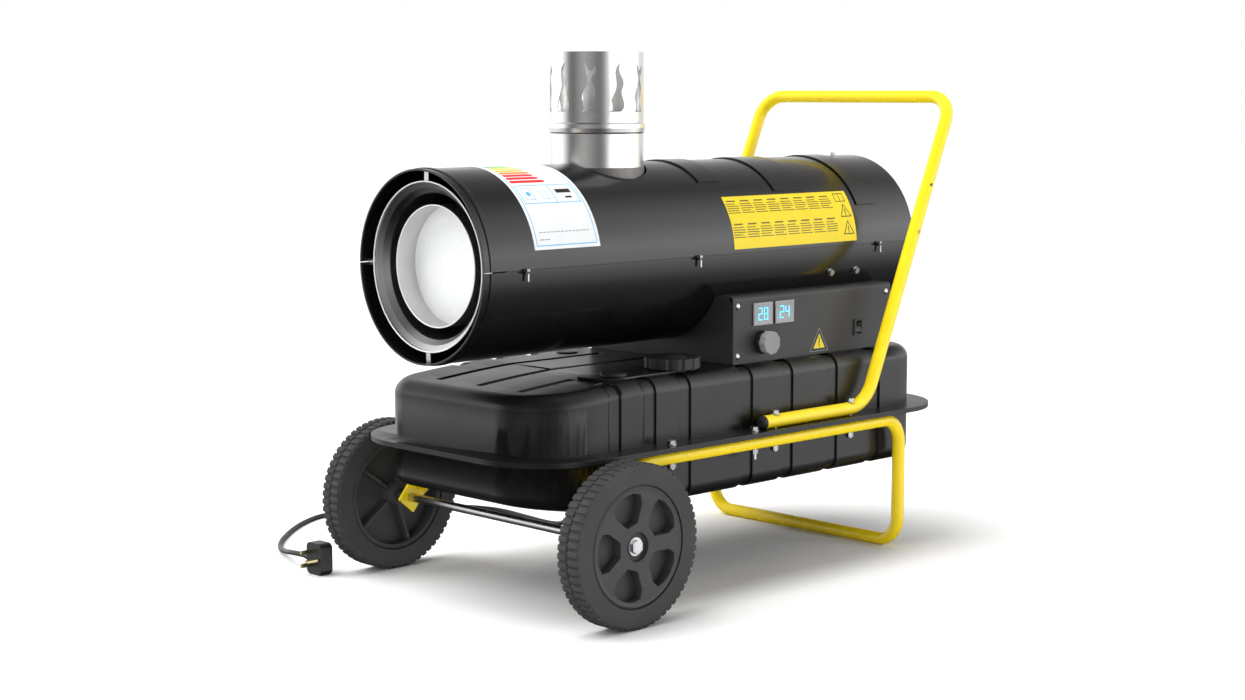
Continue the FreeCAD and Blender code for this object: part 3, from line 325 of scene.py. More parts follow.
def makeMetal(name, colour, low, high, stretch, height):
    made = Finish(name)
    brushed = made.noise(1, 5, 0.7, stretch)
    haze = made.noise(*wear["metalHaze"])
    dull = [c * wear["metalTint"] for c in colour[:3]] + [1]
    return made.surface(colour=made.mix(made.spread(haze, 0, 1), colour, dull), metal=1.0,
                        rough=made.spread(brushed, low, high) + made.spread(haze, 0, 0.06),
                        normal=made.bump(brushed, height, 0.0003, wear["metalEdge"]))


finishes = {}
for slotName, values in paints.items():
    finishes[slotName] = makePaint(slotName, *values)
for slotName, values in plastics.items():
    finishes[slotName] = makePlastic(slotName, *values)
for slotName, values in metals.items():
    finishes[slotName] = makeMetal(slotName, *values)
slotOf = {row["node"]: row["material_slot"] for row in frame["record"]["subparts"]}
for nodeName, node in frame["nodes"].items():
    for place in node.material_slots:
        place.material = finishes[slotOf[nodeName]]
print("finishes on", len(frame["nodes"]), "parts")

# ---- small helpers for modelling

weldGap = 1e-6  # points closer than this become one


def startClean():
    if bpy.context.object and bpy.context.object.mode != "OBJECT":
        bpy.ops.object.mode_set(mode="OBJECT")
    bpy.ops.object.select_all(action="DESELECT")


def pick(*pieces):
    startClean()
    for piece in pieces:
        piece.select_set(True)
    bpy.context.view_layer.objects.active = pieces[0]


def joined(pieces):
    pick(*pieces)
    if len(pieces) > 1:
        bpy.ops.object.join()
    return bpy.context.object


def copyOf(piece, move=(0, 0, 0), turn=0, axis="X", about=(0, 0, 0)):
    # a copy with a mesh of its own, moved and turned about a point
    other = piece.copy()
    other.data = piece.data.copy()
    scene.collection.objects.link(other)
    spin = Matrix.Translation(about) @ Matrix.Rotation(turn, 4, axis) @ Matrix.Translation(-Vector(about))
    other.data.transform(Matrix.Translation(move) @ spin)
    return other


def copyNode(name):
    startClean()
    source = frame["nodes"][name]
    piece = bpy.data.objects.new(name + "Copy", source.data.copy())
    scene.collection.objects.link(piece)
    pick(piece)
    bpy.ops.object.mode_set(mode="EDIT")
    bpy.ops.mesh.select_all(action="SELECT")
    bpy.ops.mesh.remove_doubles(threshold=weldGap)
    bpy.ops.object.mode_set(mode="OBJECT")
    return piece


def addModifier(piece, kind, **settings):
    pick(piece)
    modifier = piece.modifiers.new(kind.lower(), kind)
    for key, value in settings.items():
        setattr(modifier, key, value)
    bpy.ops.object.modifier_apply(modifier=modifier.name)


def softenEdges(piece, width, segments, angle):
    addModifier(piece, "BEVEL", width=width * mm, segments=segments, limit_method="ANGLE",
                angle_limit=math.radians(angle))


def choose(piece, test, kind="FACE"):
    # in edit mode, selects the faces, edges or vertices that pass a test on their middle and normal
    pick(piece)
    bpy.ops.object.mode_set(mode="EDIT")
    bpy.ops.mesh.select_all(action="DESELECT")
    bpy.ops.mesh.select_mode(type=kind)
    shape = bmesh.from_edit_mesh(piece.data)
    if kind == "FACE":
        for face in shape.faces:
            face.select = test(face.calc_center_median(), face.normal)
    elif kind == "EDGE":
        for edge in shape.edges:
            start, end = [vert.co for vert in edge.verts]
            edge.select = test((start + end) / 2, end - start)
    else:
        for vert in shape.verts:
            vert.select = test(vert.co, vert.normal)
    shape.select_flush_mode()
    bmesh.update_edit_mesh(piece.data)


def finishPiece(piece, name, body, slotName, replaced=(), finish=None, smooth=32, outward=False,
                flat=False):
    pick(piece)
    bpy.ops.object.transform_apply(location=True, rotation=True, scale=True)
    if outward:
        bpy.ops.object.mode_set(mode="EDIT")
        bpy.ops.mesh.select_all(action="SELECT")
        bpy.ops.mesh.remove_doubles(threshold=weldGap)
        bpy.ops.mesh.normals_make_consistent(inside=False)
        bpy.ops.object.mode_set(mode="OBJECT")
    bpy.ops.object.shade_smooth_by_angle(angle=math.radians(smooth))
    if flat:  # large faces keep their own normal and only the rounds between them blend
        addModifier(piece, "WEIGHTED_NORMAL", keep_sharp=True, weight=80)
    piece.name = name
    piece.data.name = name
    piece.data.materials.clear()
    piece.data.materials.append(finish or finishes[slotName])
    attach(piece, body)
    if replaced:
        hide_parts(*replaced)
    startClean()


# ---- supply lead

lead = {
    "diameter": 8.4 * mm,
    "exit": (-0.195, 0.04665, 0.392),
    "towardsCoil": [
        (-195, 46.65, 392), (-225, 46.65, 390), (-252, 47, 370), (-265, 47.5, 335), (-266, 48, 285),
        (-262, 48.5, 200), (-261, 49, 125), (-263, 50, 70), (-274, 52, 32), (-301, 54, 10), (-341, 58, 4.2),
        (-412, 65, 4.2), (-494, 74, 4.2), (-547, 58, 4.2), (-588, 32, 4.2)],
    "coilMiddle": (-625, -23),
    "coilRadius": 46,
    "coilTurns": 2.25,
    "coilStart": 90,
    "coilRise": 8.4,
    "floorHeight": 4.2,
    "fromCoil": [
        (-672, -62, 17), (-679, -106, 6.5), (-689, -155, 4.2), (-690, -208, 4.2), (-662, -262, 4.2),
        (-630, -306, 4.2), (-592, -350, 4.2), (-551, -391, 4.2), (-505, -424, 5.5), (-452, -450, 13),
        (-403, -472, 23), (-362, -474, 25)],
    "pointsPerTurn": 16,
}


def makeLead():
    points = list(lead["towardsCoil"])
    steps = round(lead["coilTurns"] * lead["pointsPerTurn"])
    for i in range(steps + 1):
        turn = i / lead["pointsPerTurn"]
        angle = math.radians(lead["coilStart"] + 360 * turn)
        points.append((lead["coilMiddle"][0] + lead["coilRadius"] * math.cos(angle),
                       lead["coilMiddle"][1] + lead["coilRadius"] * math.sin(angle),
                       lead["floorHeight"] + lead["coilRise"] * turn))
    points += lead["fromCoil"]
    curve = bpy.data.curves.new("supplyLead", "CURVE")
    curve.dimensions = "3D"
    curve.bevel_depth = lead["diameter"] / 2
    curve.bevel_resolution = 5
    curve.resolution_u = 6
    curve.use_fill_caps = True
    spline = curve.splines.new("NURBS")
    spline.points.add(len(points) - 1)
    for spot, point in zip(spline.points, points):
        spot.co = (point[0] * mm, point[1] * mm, point[2] * mm, 1)
    spline.order_u = 3
    spline.use_endpoint_u = True
    curve.materials.append(finishes["lead_rubber"])
    piece = bpy.data.objects.new("supplyLead", curve)
    scene.collection.objects.link(piece)
    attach(piece, "heater")
    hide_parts("cord_to_coil", "cord_coil", "cord_to_plug")
    return piece


supplyLead = makeLead()
print("supply lead laid")

# ---- tyres with their tread

tyre = {
    "centre": (284.3, -353.35, 125),
    "rim": 93, "crown": 125, "wide": 43,
    "grooveDeep": 2.8, "shoulder": 3.2,
    "lugs": 60, "lugLong": 10.2, "lugWide": 19.4, "rowShift": 10.9,
    "lugRoot": 2.5, "lugTop": (0.92, 0.8, 1), "lugEdge": 0.7,
    "steps": 120,
}


def makeTyre(name, side, body, nodeName):
    middle = Vector(tyre["centre"]) * mm
    middle.x *= side
    low, high = tyre["rim"] * mm, (tyre["crown"] - tyre["grooveDeep"]) * mm
    startClean()
    bpy.ops.mesh.primitive_plane_add(size=1, rotation=(math.pi / 2, 0, 0),
                                     location=middle + Vector((0, 0, (low + high) / 2)))
    band = bpy.context.object
    band.scale = (tyre["wide"] * mm, high - low, 1)
    bpy.ops.object.transform_apply(location=True, rotation=True, scale=True)
    choose(band, lambda at, way: at.z > middle.z + (low + high) / 2, "VERT")
    bpy.ops.mesh.bevel(affect="VERTICES", offset=tyre["shoulder"] * mm, segments=4)
    bpy.ops.mesh.select_all(action="SELECT")
    bpy.ops.mesh.delete(type="ONLY_FACE")
    bpy.ops.mesh.select_all(action="SELECT")
    bpy.ops.mesh.spin(steps=tyre["steps"], angle=2 * math.pi, center=middle, axis=(1, 0, 0))
    bpy.ops.mesh.select_all(action="SELECT")
    bpy.ops.mesh.remove_doubles(threshold=weldGap)
    bpy.ops.mesh.normals_make_consistent(inside=False)
    bpy.ops.object.mode_set(mode="OBJECT")

    # one lug on the crown, narrower at its top, then copied round in two staggered rows
    deep = tyre["grooveDeep"] + tyre["lugRoot"]
    bpy.ops.mesh.primitive_cube_add(size=1, location=middle + Vector((0, 0, (tyre["crown"] - deep / 2) * mm)))
    lug = bpy.context.object
    lug.scale = (tyre["lugWide"] * mm, tyre["lugLong"] * mm, deep * mm)
    bpy.ops.object.transform_apply(location=True, rotation=True, scale=True)
    choose(lug, lambda at, way: way.z > 0.9)
    bpy.ops.transform.resize(value=tyre["lugTop"])
    bpy.ops.mesh.select_all(action="DESELECT")
    choose(lug, lambda at, way: at.z > middle.z + (tyre["crown"] - deep + 0.5) * mm, "EDGE")
    bpy.ops.mesh.bevel(affect="EDGES", offset=tyre["lugEdge"] * mm, segments=2)
    bpy.ops.object.mode_set(mode="OBJECT")
    pieces = [band]
    for row in (-1, 1):
        for i in range(tyre["lugs"]):
            turn = 2 * math.pi * (i + (0.5 if row > 0 else 0)) / tyre["lugs"]
            pieces.append(copyOf(lug, (row * tyre["rowShift"] * mm, 0, 0), turn, "X", middle))
    bpy.data.objects.remove(lug)
    finishPiece(joined(pieces), name, body, "wheel_rubber", [nodeName], smooth=30)


makeTyre("panelSideTyre", 1, "panel_side_wheel", "panel_side_tyre")
makeTyre("leadSideTyre", -1, "lead_side_wheel", "lead_side_tyre")
print("tyres done")

# ---- tank halves, pressed lower towards the front

tankSlope = {
    "start": -235, "run": 190, "bend": 1.4,  # along Y, and how the slope steepens
    "drop": 14, "lift": 17,  # at the front, on top and underneath
    "flange": 244.5, "clear": 10, "deep": 88,  # the flange and a strip beside it stay flat
    "cuts": 18, "cutLength": 210, "flatAngle": 0.3,
}


def makeTankHalf(nodeName, name, shift):
    piece = copyNode(nodeName)
    pick(piece)
    bpy.ops.object.mode_set(mode="EDIT")
    bpy.ops.mesh.select_all(action="SELECT")
    flatAngle = math.radians(tankSlope["flatAngle"])
    bpy.ops.mesh.dissolve_limited(angle_limit=flatAngle)  # one face for each flat stretch
    for i in range(tankSlope["cuts"]):  # cuts across, so that flat sheet can follow the slope
        y = (tankSlope["start"] - (i + 0.5) * tankSlope["cutLength"] / tankSlope["cuts"]) * mm
        bpy.ops.mesh.select_all(action="SELECT")
        bpy.ops.mesh.bisect(plane_co=(0, y, 0), plane_no=(0, 1, 0))
    bpy.ops.object.mode_set(mode="OBJECT")
    for vert in piece.data.vertices:
        along = min(1, max(0, (tankSlope["start"] - vert.co.y / mm) / tankSlope["run"]))
        away = (vert.co.z / mm - tankSlope["flange"]) * (1 if shift < 0 else -1)
        reach = min(1, max(0, (away - tankSlope["clear"]) / tankSlope["deep"]))
        vert.co.z += shift * mm * along ** tankSlope["bend"] * reach
    finishPiece(piece, name, "heater", "tank_paint", [nodeName], smooth=30, flat=True)


makeTankHalf("tank_upper", "tankTop", -tankSlope["drop"])
makeTankHalf("tank_lower", "tankFoot", tankSlope["lift"])
print("tank halves done")

# ---- rolled hems, seam laps and small plugs

hems = [
    # name, radius, place along Y, radius of the roll
    ("linerHem", 128.4, -499.6, 1.1),
    ("sleeveHem", 92.4, -483.1, 1.1),
    ("linerStep", 112.2, -482.4, 0.7),
]


def ringAlongBarrel(radius, y, roll):
    # a small ten-sided roll spun round the barrel's axis
    startClean()
    bpy.ops.mesh.primitive_circle_add(vertices=10, radius=roll * mm, rotation=(0, math.pi / 2, 0),
                                      location=(0, y * mm, barrelAxis.z + radius * mm))
    ring = bpy.context.object
    bpy.ops.object.transform_apply(location=True, rotation=True, scale=True)
    bpy.ops.object.mode_set(mode="EDIT")
    bpy.ops.mesh.select_all(action="SELECT")
    bpy.ops.mesh.spin(steps=120, angle=2 * math.pi, center=(0, y * mm, barrelAxis.z), axis=(0, 1, 0))
    bpy.ops.object.mode_set(mode="OBJECT")
    return ring


bright = Finish("paintedHighlightHem")  # painted highlight: the rolled edge is pale all round, a bright line standing in for the light its curve catches, with a faint mottle over it
wearAndSheen = bright.noise(90, 4, 0.6)
hemHighlightFinish = bright.surface(colour=bright.mix(wearAndSheen, grey(0.82), grey(0.95)), metal=0.25,
                           rough=bright.spread(wearAndSheen, 0.28, 0.42))
for name, radius, y, roll in hems:
    ring = ringAlongBarrel(radius, y, roll)
    finishPiece(ring, name, "heater", "liner_steel", finish=hemHighlightFinish, outward=True)

seamLap = {"out": 145.7, "thick": 0.9, "high": 13, "front": -468, "rear": 478, "edge": 0.3}


def makeSeamLap(name, side):
    startClean()
    middle = (seamLap["front"] + seamLap["rear"]) / 2
    place = (side * seamLap["out"] * mm, middle * mm, barrelAxis.z)
    bpy.ops.mesh.primitive_cube_add(size=1, location=place)
    strip = bpy.context.object
    long = seamLap["rear"] - seamLap["front"]
    strip.scale = (seamLap["thick"] * mm, long * mm, seamLap["high"] * mm)
    bpy.ops.object.transform_apply(location=True, rotation=True, scale=True)
    choose(strip, lambda at, way: abs(way.y) > 0.5, "EDGE")
    bpy.ops.mesh.bevel(affect="EDGES", offset=seamLap["edge"] * mm, segments=2)
    bpy.ops.object.mode_set(mode="OBJECT")
    finishPiece(strip, name, "heater", "barrel_paint", outward=True)


makeSeamLap("panelSideSeamLap", 1)
makeSeamLap("leadSideSeamLap", -1)

plugs = {
    # name: place, way it faces, radius
    "handlePlugHigh": ((228.6, 432.75, 629.7), (1, 0, 0), 2.9),
    "handlePlugLow": ((228.6, 400.05, 550.3), (1, 0, 0), 2.9),
    "barrelHolePlug": ((106.1, -476, 630.8), (0.718, 0, 0.696), 2.2),
}
plugShape = {"thick": 1.6, "rim": 0.35, "recess": 0.5, "edge": 0.25}  # the rim is a part of the radius


def makePlug(name, place, way, radius):
    startClean()
    way = Vector(way)
    middle = Vector(place) * mm
    bpy.ops.mesh.primitive_cylinder_add(vertices=24, radius=radius * mm, depth=plugShape["thick"] * mm,
                                        rotation=way.to_track_quat("Z", "Y").to_euler(), location=middle)
    plug = bpy.context.object
    bpy.ops.object.transform_apply(location=True, rotation=True, scale=True)
    choose(plug, lambda at, facing: (at - middle).dot(way) > 0.5 * mm and facing.dot(way) > 0.9)
    bpy.ops.mesh.inset(thickness=radius * plugShape["rim"] * mm)
    bpy.ops.transform.translate(value=way * -plugShape["recess"] * mm)
    bpy.ops.object.mode_set(mode="OBJECT")
    softenEdges(plug, plugShape["edge"], 2, 50)
    finishPiece(plug, name, "heater", "black_plastic", outward=True)


for name, (place, way, radius) in plugs.items():
    makePlug(name, place, way, radius)
print("hems, laps and plugs done")

# ---- thermostat knob: a black lobed skirt, whose black is painted shade at the knob's foot by the panel, and a grey lobed grip

knob = {
    "y": 64.7, "z": 382.5, "radius": 19.6, "gripSmaller": 0.3,
    "lobes": 9, "lobeDeep": 1.5, "lobeBend": 0.7, "points": 108,
    "skirtFrom": 172.5, "gripFrom": 180.0, "gripTo": 193.0,
    "faceRim": 1.6, "faceStep": 3.2, "faceRecess": 0.7,
}


def lobedDisc(start, end, radius):
    startClean()
    middle = Vector(((start + end) / 2, knob["y"], knob["z"])) * mm
    bpy.ops.mesh.primitive_cylinder_add(vertices=knob["points"], radius=radius * mm,
                                        depth=(end - start) * mm, rotation=(0, math.pi / 2, 0),
                                        location=middle)
    disc = bpy.context.object
    bpy.ops.object.transform_apply(location=True, rotation=True, scale=True)
    for vert in disc.data.vertices:
        out = Vector((0, vert.co.y - middle.y, vert.co.z - middle.z))
        wave = abs(math.sin(math.atan2(out.z, out.y) * knob["lobes"] / 2)) ** knob["lobeBend"]
        out *= 1 - knob["lobeDeep"] / radius * (1 - wave)
        vert.co = Vector((vert.co.x, middle.y + out.y, middle.z + out.z))
    return disc


def makeKnob():
    skirt = lobedDisc(knob["skirtFrom"], knob["gripFrom"], knob["radius"])
    softenEdges(skirt, 0.5, 2, 60)
    # the skirt's black plastic is painted shade: the dark that falls at the knob's foot beside the panel
    finishPiece(skirt, "knobSkirt", "thermostat_dial", "black_plastic", outward=True)
    grip = lobedDisc(knob["gripFrom"], knob["gripTo"], knob["radius"] - knob["gripSmaller"])
    choose(grip, lambda at, way: way.x > 0.9)
    bpy.ops.mesh.inset(thickness=knob["faceRim"] * mm)
    bpy.ops.mesh.inset(thickness=knob["faceStep"] * mm)
    bpy.ops.transform.translate(value=(-knob["faceRecess"] * mm, 0, 0))
    bpy.ops.object.mode_set(mode="OBJECT")
    softenEdges(grip, 0.9, 3, 60)
    finishPiece(grip, "knobGrip", "thermostat_dial", "knob_plastic", ["thermostat_knob"], outward=True)


makeKnob()
print("knob done")

# ---- flat prints: labels wrapped on the barrel, warning triangle, display digits

inks = {
    "whitePaper": ((0.84, 0.85, 0.86, 1), 0.35),
    "yellowPaper": ((0.86, 0.66, 0.02, 1), 0.4),
    "blackInk": ((0.012, 0.012, 0.012, 1), 0.4),
    "brownInk": ((0.16, 0.12, 0.02, 1), 0.45),
    "greyInk": ((0.30, 0.32, 0.34, 1), 0.45),
    "blueInk": ((0.10, 0.46, 0.80, 1), 0.4),
    "redInk": ((0.72, 0.02, 0.02, 1), 0.4),
    "orangeInk": ((0.85, 0.25, 0.02, 1), 0.4),
    "amberInk": ((0.88, 0.48, 0.02, 1), 0.4),
    "yellowInk": ((0.86, 0.76, 0.04, 1), 0.4),
    "limeInk": ((0.38, 0.66, 0.05, 1), 0.4),
    "greenInk": ((0.04, 0.45, 0.08, 1), 0.4),
}


def makeInk(name):
    colour, rough = inks[name]
    made = Finish(name)
    fibre = made.noise(1800, 3, 0.6)
    wearAndSheen = made.spread(made.noise(30, 4, 0.6), 0, 0.5, 0.4, 0.8)
    faded = [c * 0.88 for c in colour[:3]] + [1]
    return made.surface(colour=made.mix(wearAndSheen, colour, faded), specular=0.45,
                        rough=made.spread(fibre, rough - 0.05, rough + 0.07),
                        normal=made.bump(fibre, 0.08, 0.0002))


def makeGlow(name, colour, power):
    made = Finish(name)
    pulse = made.spread(made.noise(400, 2), 0.9, 1.0)
    return made.surface(colour=colour, glow=made.mix(pulse, grey(0), colour), glowPower=power, rough=0.3)


prints = {name: makeInk(name) for name in inks}


def flatBar(across, down, long, high, tilt=0, corners=4):
    # a print lies in the YZ plane at first: across along Y, down along Z, both in millimetres
    if corners == 4:
        bpy.ops.mesh.primitive_plane_add(size=1)
    else:
        bpy.ops.mesh.primitive_circle_add(vertices=corners, radius=0.5, fill_type="NGON")
    bar = bpy.context.object
    flat = Matrix(((0, 0, 1, 0), (1, 0, 0, 0), (0, 1, 0, 0), (0, 0, 0, 1)))
    place = Matrix.Translation((0, across * mm, down * mm)) @ Matrix.Rotation(tilt, 4, "X")
    size = Matrix.Diagonal((1, long * mm, high * mm, 1))
    bar.data.transform(place @ size @ flat @ Matrix.Translation(-bar.location))
    bar.location = (0, 0, 0)
    return bar


def frameBars(across, down, long, high, thick):
    # four thin bars round a rectangle
    level = [flatBar(across, down + side * high / 2, long + thick, thick) for side in (-1, 1)]
    return level + [flatBar(across + side * long / 2, down, thick, high + thick) for side in (-1, 1)]


def wrapOnBarrel(piece, lift, thick, cuts):
    pick(piece)
    bpy.ops.object.mode_set(mode="EDIT")
    bpy.ops.mesh.select_all(action="SELECT")
    if cuts:
        bpy.ops.mesh.subdivide(number_cuts=cuts)
    bpy.ops.object.mode_set(mode="OBJECT")
    for vert in piece.data.vertices:
        angle = vert.co.z / barrelRadius
        reach = barrelRadius + lift * mm
        vert.co = Vector((reach * math.sin(angle), vert.co.y, barrelAxis.z + reach * math.cos(angle)))
    addModifier(piece, "SOLIDIFY", thickness=thick * mm, offset=0)


paperShape = {"lift": 0.25, "thick": 0.2}
inkShape = {"lift": 0.42, "thick": 0.1}


def label(name, bars, ink, shape, cuts):
    piece = joined(bars)
    wrapOnBarrel(piece, shape["lift"], shape["thick"], cuts)
    slotFor = {"yellowPaper": "frame_paint", "whitePaper": "baffle_paint"}.get(ink, "black_plastic")
    finishPiece(piece, name, "heater", slotFor, finish=prints[ink], outward=True)


fullArc = barrelRadius * math.radians(1) / mm  # millimetres of arc for one degree
ratingLabel = {
    "middle": -344.2, "long": 133.5, "top": -16, "bottom": 79,
    "inset": 6, "line": 1.4,
    # down in degrees, length, ink
    "arrows": [(31.3, 66, "redInk"), (27.6, 60, "redInk"), (24.1, 56, "redInk"), (20.6, 56, "orangeInk"),
               (17.1, 52, "amberInk"), (13.6, 50, "yellowInk"), (10.1, 44, "limeInk"), (6.6, 40, "greenInk")],
    "arrowHigh": 6.6, "headShift": 1.4,
    "boxTop": 35.3, "boxBottom": 49.8, "boxLong": 112, "boxSplit": 0.58, "signLine": 0.9,
    # plain signs: across and down from the middle of the left field, length, part of the box's height
    "signs": [(-16, 0, 17, 0.62), (14, 3, 13, 0.44)],
    "dot": (-16, 9),
    # across and down from the middle of the right field, length, height
    "marks": [(0, -4, 30, 8), (4, 9, 13, 3.6)],
    # down in degrees, count, length
    "smallPrint": [(68.8, 14, 5.2), (73.2, 2, 9)],
    "smallStart": -49, "smallGap": 2.2, "smallHigh": 1.5,
}
careLabel = {
    "middle": 176, "long": 310, "top": 52.1, "bottom": 87.3,
    "columns": 8, "pitch": 33.2, "first": 41.5,
    "rows": [55.6, 71.6], "lines": 5, "linePitch": 4.0, "lineLong": 29, "lineHigh": 1.5, "firstLine": 5.4,
    "headShift": 4, "headLong": 21, "headHigh": 2.6,
    "book": (309, 57, 24, 15, 1.4),  # across, degrees down, length, height, line
    "triangles": [68.2, 80.0], "triangleAcross": 312, "triangleReach": 7.4, "triangleSide": 26,
    "triangleLine": 1.7, "strokeWide": 2.2,
}


def makeRatingLabel():
    r = ratingLabel
    startClean()
    down = (r["top"] + r["bottom"]) / 2 * fullArc
    high = (r["bottom"] - r["top"]) * fullArc
    label("ratingPaper", [flatBar(r["middle"], down, r["long"], high)], "whitePaper", paperShape, 60)
    startClean()
    rims = frameBars(r["middle"], down, r["long"] - 2 * r["inset"], high - 2 * r["inset"], r["line"])
    boxMid = (r["boxTop"] + r["boxBottom"]) / 2 * fullArc
    boxHigh = (r["boxBottom"] - r["boxTop"]) * fullArc
    rims += frameBars(r["middle"], boxMid, r["boxLong"], boxHigh, r["line"])
    split = r["middle"] - r["boxLong"] / 2 + r["boxLong"] * r["boxSplit"]
    rims.append(flatBar(split, boxMid, r["line"], boxHigh))
    leftMid = (r["middle"] - r["boxLong"] / 2 + split) / 2
    for across, lower, long, part in r["signs"]:
        rims += frameBars(leftMid + across, boxMid + lower, long, boxHigh * part, r["signLine"])
    across, wide = r["dot"]
    rims.append(flatBar(leftMid + across, boxMid, wide, wide, 0, 24))
    label("ratingLines", rims, "blueInk", inkShape, 24)
    startClean()
    rightMid = (split + r["middle"] + r["boxLong"] / 2) / 2
    marks = []
    for across, lower, long, tall in r["marks"]:
        marks.append(flatBar(rightMid + across, boxMid + lower, long, tall))
    label("ratingMark", marks, "blackInk", inkShape, 3)
    startClean()
    dashes = []
    for angle, count, long in r["smallPrint"]:
        for i in range(count):
            across = r["middle"] + r["smallStart"] + i * (long + r["smallGap"])
            dashes.append(flatBar(across, angle * fullArc, long, r["smallHigh"]))
    label("ratingSmallPrint", dashes, "greyInk", inkShape, 1)
    front = r["middle"] - r["long"] / 2 + r["inset"] + 5
    byInk = {}
    startClean()
    for angle, long, ink in r["arrows"]:
        bars = byInk.setdefault(ink, [])
        lower, tall = angle * fullArc, r["arrowHigh"]
        bars.append(flatBar(front + long / 2, lower, long, tall))
        bars.append(flatBar(front + long + r["headShift"], lower, tall * 0.9, tall * 1.12, 0, 3))
    for ink, bars in byInk.items():
        label("ratingArrow" + ink, bars, ink, inkShape, 3)


def makeCareLabel():
    c = careLabel
    startClean()
    down = (c["top"] + c["bottom"]) / 2 * fullArc
    high = (c["bottom"] - c["top"]) * fullArc
    label("carePaper", [flatBar(c["middle"], down, c["long"], high)], "yellowPaper", paperShape, 40)
    startClean()
    lines = []
    for row in c["rows"]:
        for column in range(c["columns"]):
            across = c["first"] + column * c["pitch"] - c["headShift"]
            lines.append(flatBar(across, row * fullArc, c["headLong"], c["headHigh"]))
            for i in range(c["lines"]):  # some lines end short, as text does
                full = c["lineLong"]
                long = full if i % 3 else full - 5 + 3 * math.sin(column * 2.1 + i + row)
                lower = row * fullArc + c["firstLine"] + i * c["linePitch"]
                lines.append(flatBar(across + (long - full) / 2, lower, long, c["lineHigh"]))
    label("careLines", lines, "brownInk", inkShape, 1)
    startClean()
    across, angle, long, tall, line = c["book"]
    signs = frameBars(across, angle * fullArc, long, tall, line)
    signs.append(flatBar(across, angle * fullArc, line, tall))
    across, reach, stroke = c["triangleAcross"], c["triangleReach"], c["strokeWide"]
    for angle in c["triangles"]:
        for i in range(3):  # a triangle drawn as three strokes
            turn = math.radians(120 * i)
            lower = angle * fullArc + reach * math.cos(turn) - 1
            signs.append(flatBar(across + reach * math.sin(turn), lower, c["triangleSide"],
                                 c["triangleLine"], -turn))
        signs.append(flatBar(across, angle * fullArc - 3, stroke, 8))
        signs.append(flatBar(across, angle * fullArc + 3.4, stroke, stroke))
    label("careSigns", signs, "blackInk", inkShape, 3)


makeRatingLabel()
makeCareLabel()
print("labels wrapped on the barrel")

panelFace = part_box("control_panel")[1].x


def onPanel(bars, name, ink, lift, thick, finish=None, slotName="black_plastic", face=panelFace):
    piece = joined(bars)
    piece.data.transform(Matrix.Translation((face + lift * mm, 0, 0)))
    addModifier(piece, "SOLIDIFY", thickness=thick * mm, offset=0)
    finishPiece(piece, name, "heater", slotName, finish=finish or prints[ink], outward=True)


warning = {
    "middle": 207.7, "low": 355.2, "high": 395.1, "wide": 47.4, "centre": 13,
    "border": 0.93, "field": 0.62,  # sizes beside the edge's
    # the bolt's three strokes: height, length, thickness up, tilt
    "bolt": [(376, 1.8, 8, 0.35), (371, 5, 1.6, -0.5), (366, 1.8, 8, 0.35)],
}


def triangleOf(grow):
    # a three-cornered print with its foot level, its height and width shrunk together
    startClean()
    tall, wide = (warning["high"] - warning["low"]) * grow, warning["wide"] * grow
    bar = flatBar(0, 0, 1, 1)
    low = warning["low"] + (1 - grow) * warning["centre"]
    bpy.ops.object.mode_set(mode="EDIT")
    choose(bar, lambda at, way: at.z > 0, "VERT")
    bpy.ops.mesh.merge(type="CENTER")
    bpy.ops.object.mode_set(mode="OBJECT")
    bar.data.transform(Matrix.Translation((0, warning["middle"] * mm, (low + tall / 2) * mm)) @
                       Matrix.Diagonal((1, wide, tall, 1)))
    return bar


onPanel([triangleOf(1)], "warningEdge", "greyInk", 0.15, 0.25)
onPanel([triangleOf(warning["border"])], "warningBorder", "blackInk", 0.3, 0.2)
onPanel([triangleOf(warning["field"])], "warningField", "yellowPaper", 0.42, 0.2, slotName="frame_paint")
startClean()
onPanel([flatBar(warning["middle"], *stroke) for stroke in warning["bolt"]], "warningBolt", "blackInk",
        0.55, 0.15)

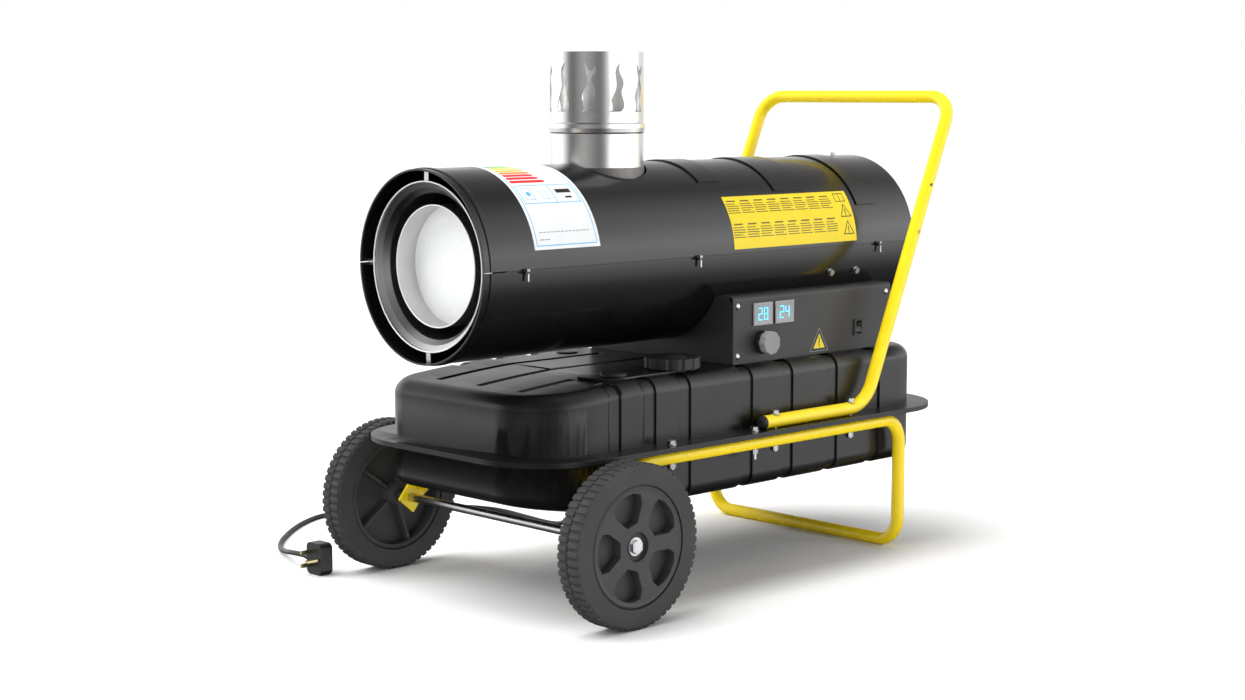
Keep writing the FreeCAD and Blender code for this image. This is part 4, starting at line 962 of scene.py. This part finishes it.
segments = {  # across and up in digit widths, upright or level
    "a": (0, 1, 0), "b": (0.5, 0.5, 1), "c": (0.5, -0.5, 1), "d": (0, -1, 0), "e": (-0.5, -0.5, 1),
    "f": (-0.5, 0.5, 1), "g": (0, 0, 0),
}
shownBy = {"2": "abged", "8": "abcdefg", "4": "fgbc"}
display = {
    "digitWide": 8.4, "digitHigh": 19, "stroke": 1.7, "apart": 13.5, "overlap": 0.6, "gap": 0.4,
    "rim": 3.2, "rimDeep": 0.9, "step": 1.2, "stepDeep": 0.5, "edge": 0.7,
    "digitLift": -1.1, "digitThick": 0.3,
}
digitGlow = makeGlow("digitGlow", (0.09, 0.55, 0.95, 1), 1.5)


def makeDisplay(nodeName, figures):
    low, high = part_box(nodeName)
    middle = (low + high) / 2
    startClean()
    piece = copyNode(nodeName)
    name = nodeName.replace("_d", "D")

    def onFace(at, way):
        return way.x > 0.9 and at.x > high.x - 0.5 * mm

    choose(piece, onFace)
    bpy.ops.mesh.dissolve_limited(angle_limit=math.radians(2))
    choose(piece, onFace)
    for wide, deep in (("rim", "rimDeep"), ("step", "stepDeep")):
        bpy.ops.mesh.inset(thickness=display[wide] * mm)
        bpy.ops.transform.translate(value=(-display[deep] * mm, 0, 0))
    bpy.ops.object.mode_set(mode="OBJECT")
    softenEdges(piece, display["edge"], 2, 40)
    finishPiece(piece, name + "Case", "heater", "display_unit", [nodeName], smooth=30)
    startClean()
    strokes = []
    for i, figure in enumerate(figures):
        across = middle.y / mm + (i - 0.5) * display["apart"]
        for letter in shownBy[figure]:
            side, up, upright = segments[letter]
            wide, tall = display["stroke"], display["digitHigh"] / 2 - display["gap"]
            if not upright:
                wide, tall = display["digitWide"] + display["overlap"], display["stroke"]
            strokes.append(flatBar(across + side * display["digitWide"],
                                   middle.z / mm + up * display["digitHigh"] / 2, wide, tall))
    onPanel(strokes, name + "Digits", None, display["digitLift"], display["digitThick"], digitGlow,
            "display_unit", high.x)


makeDisplay("room_display", "28")
makeDisplay("setting_display", "24")
print("panel prints done")
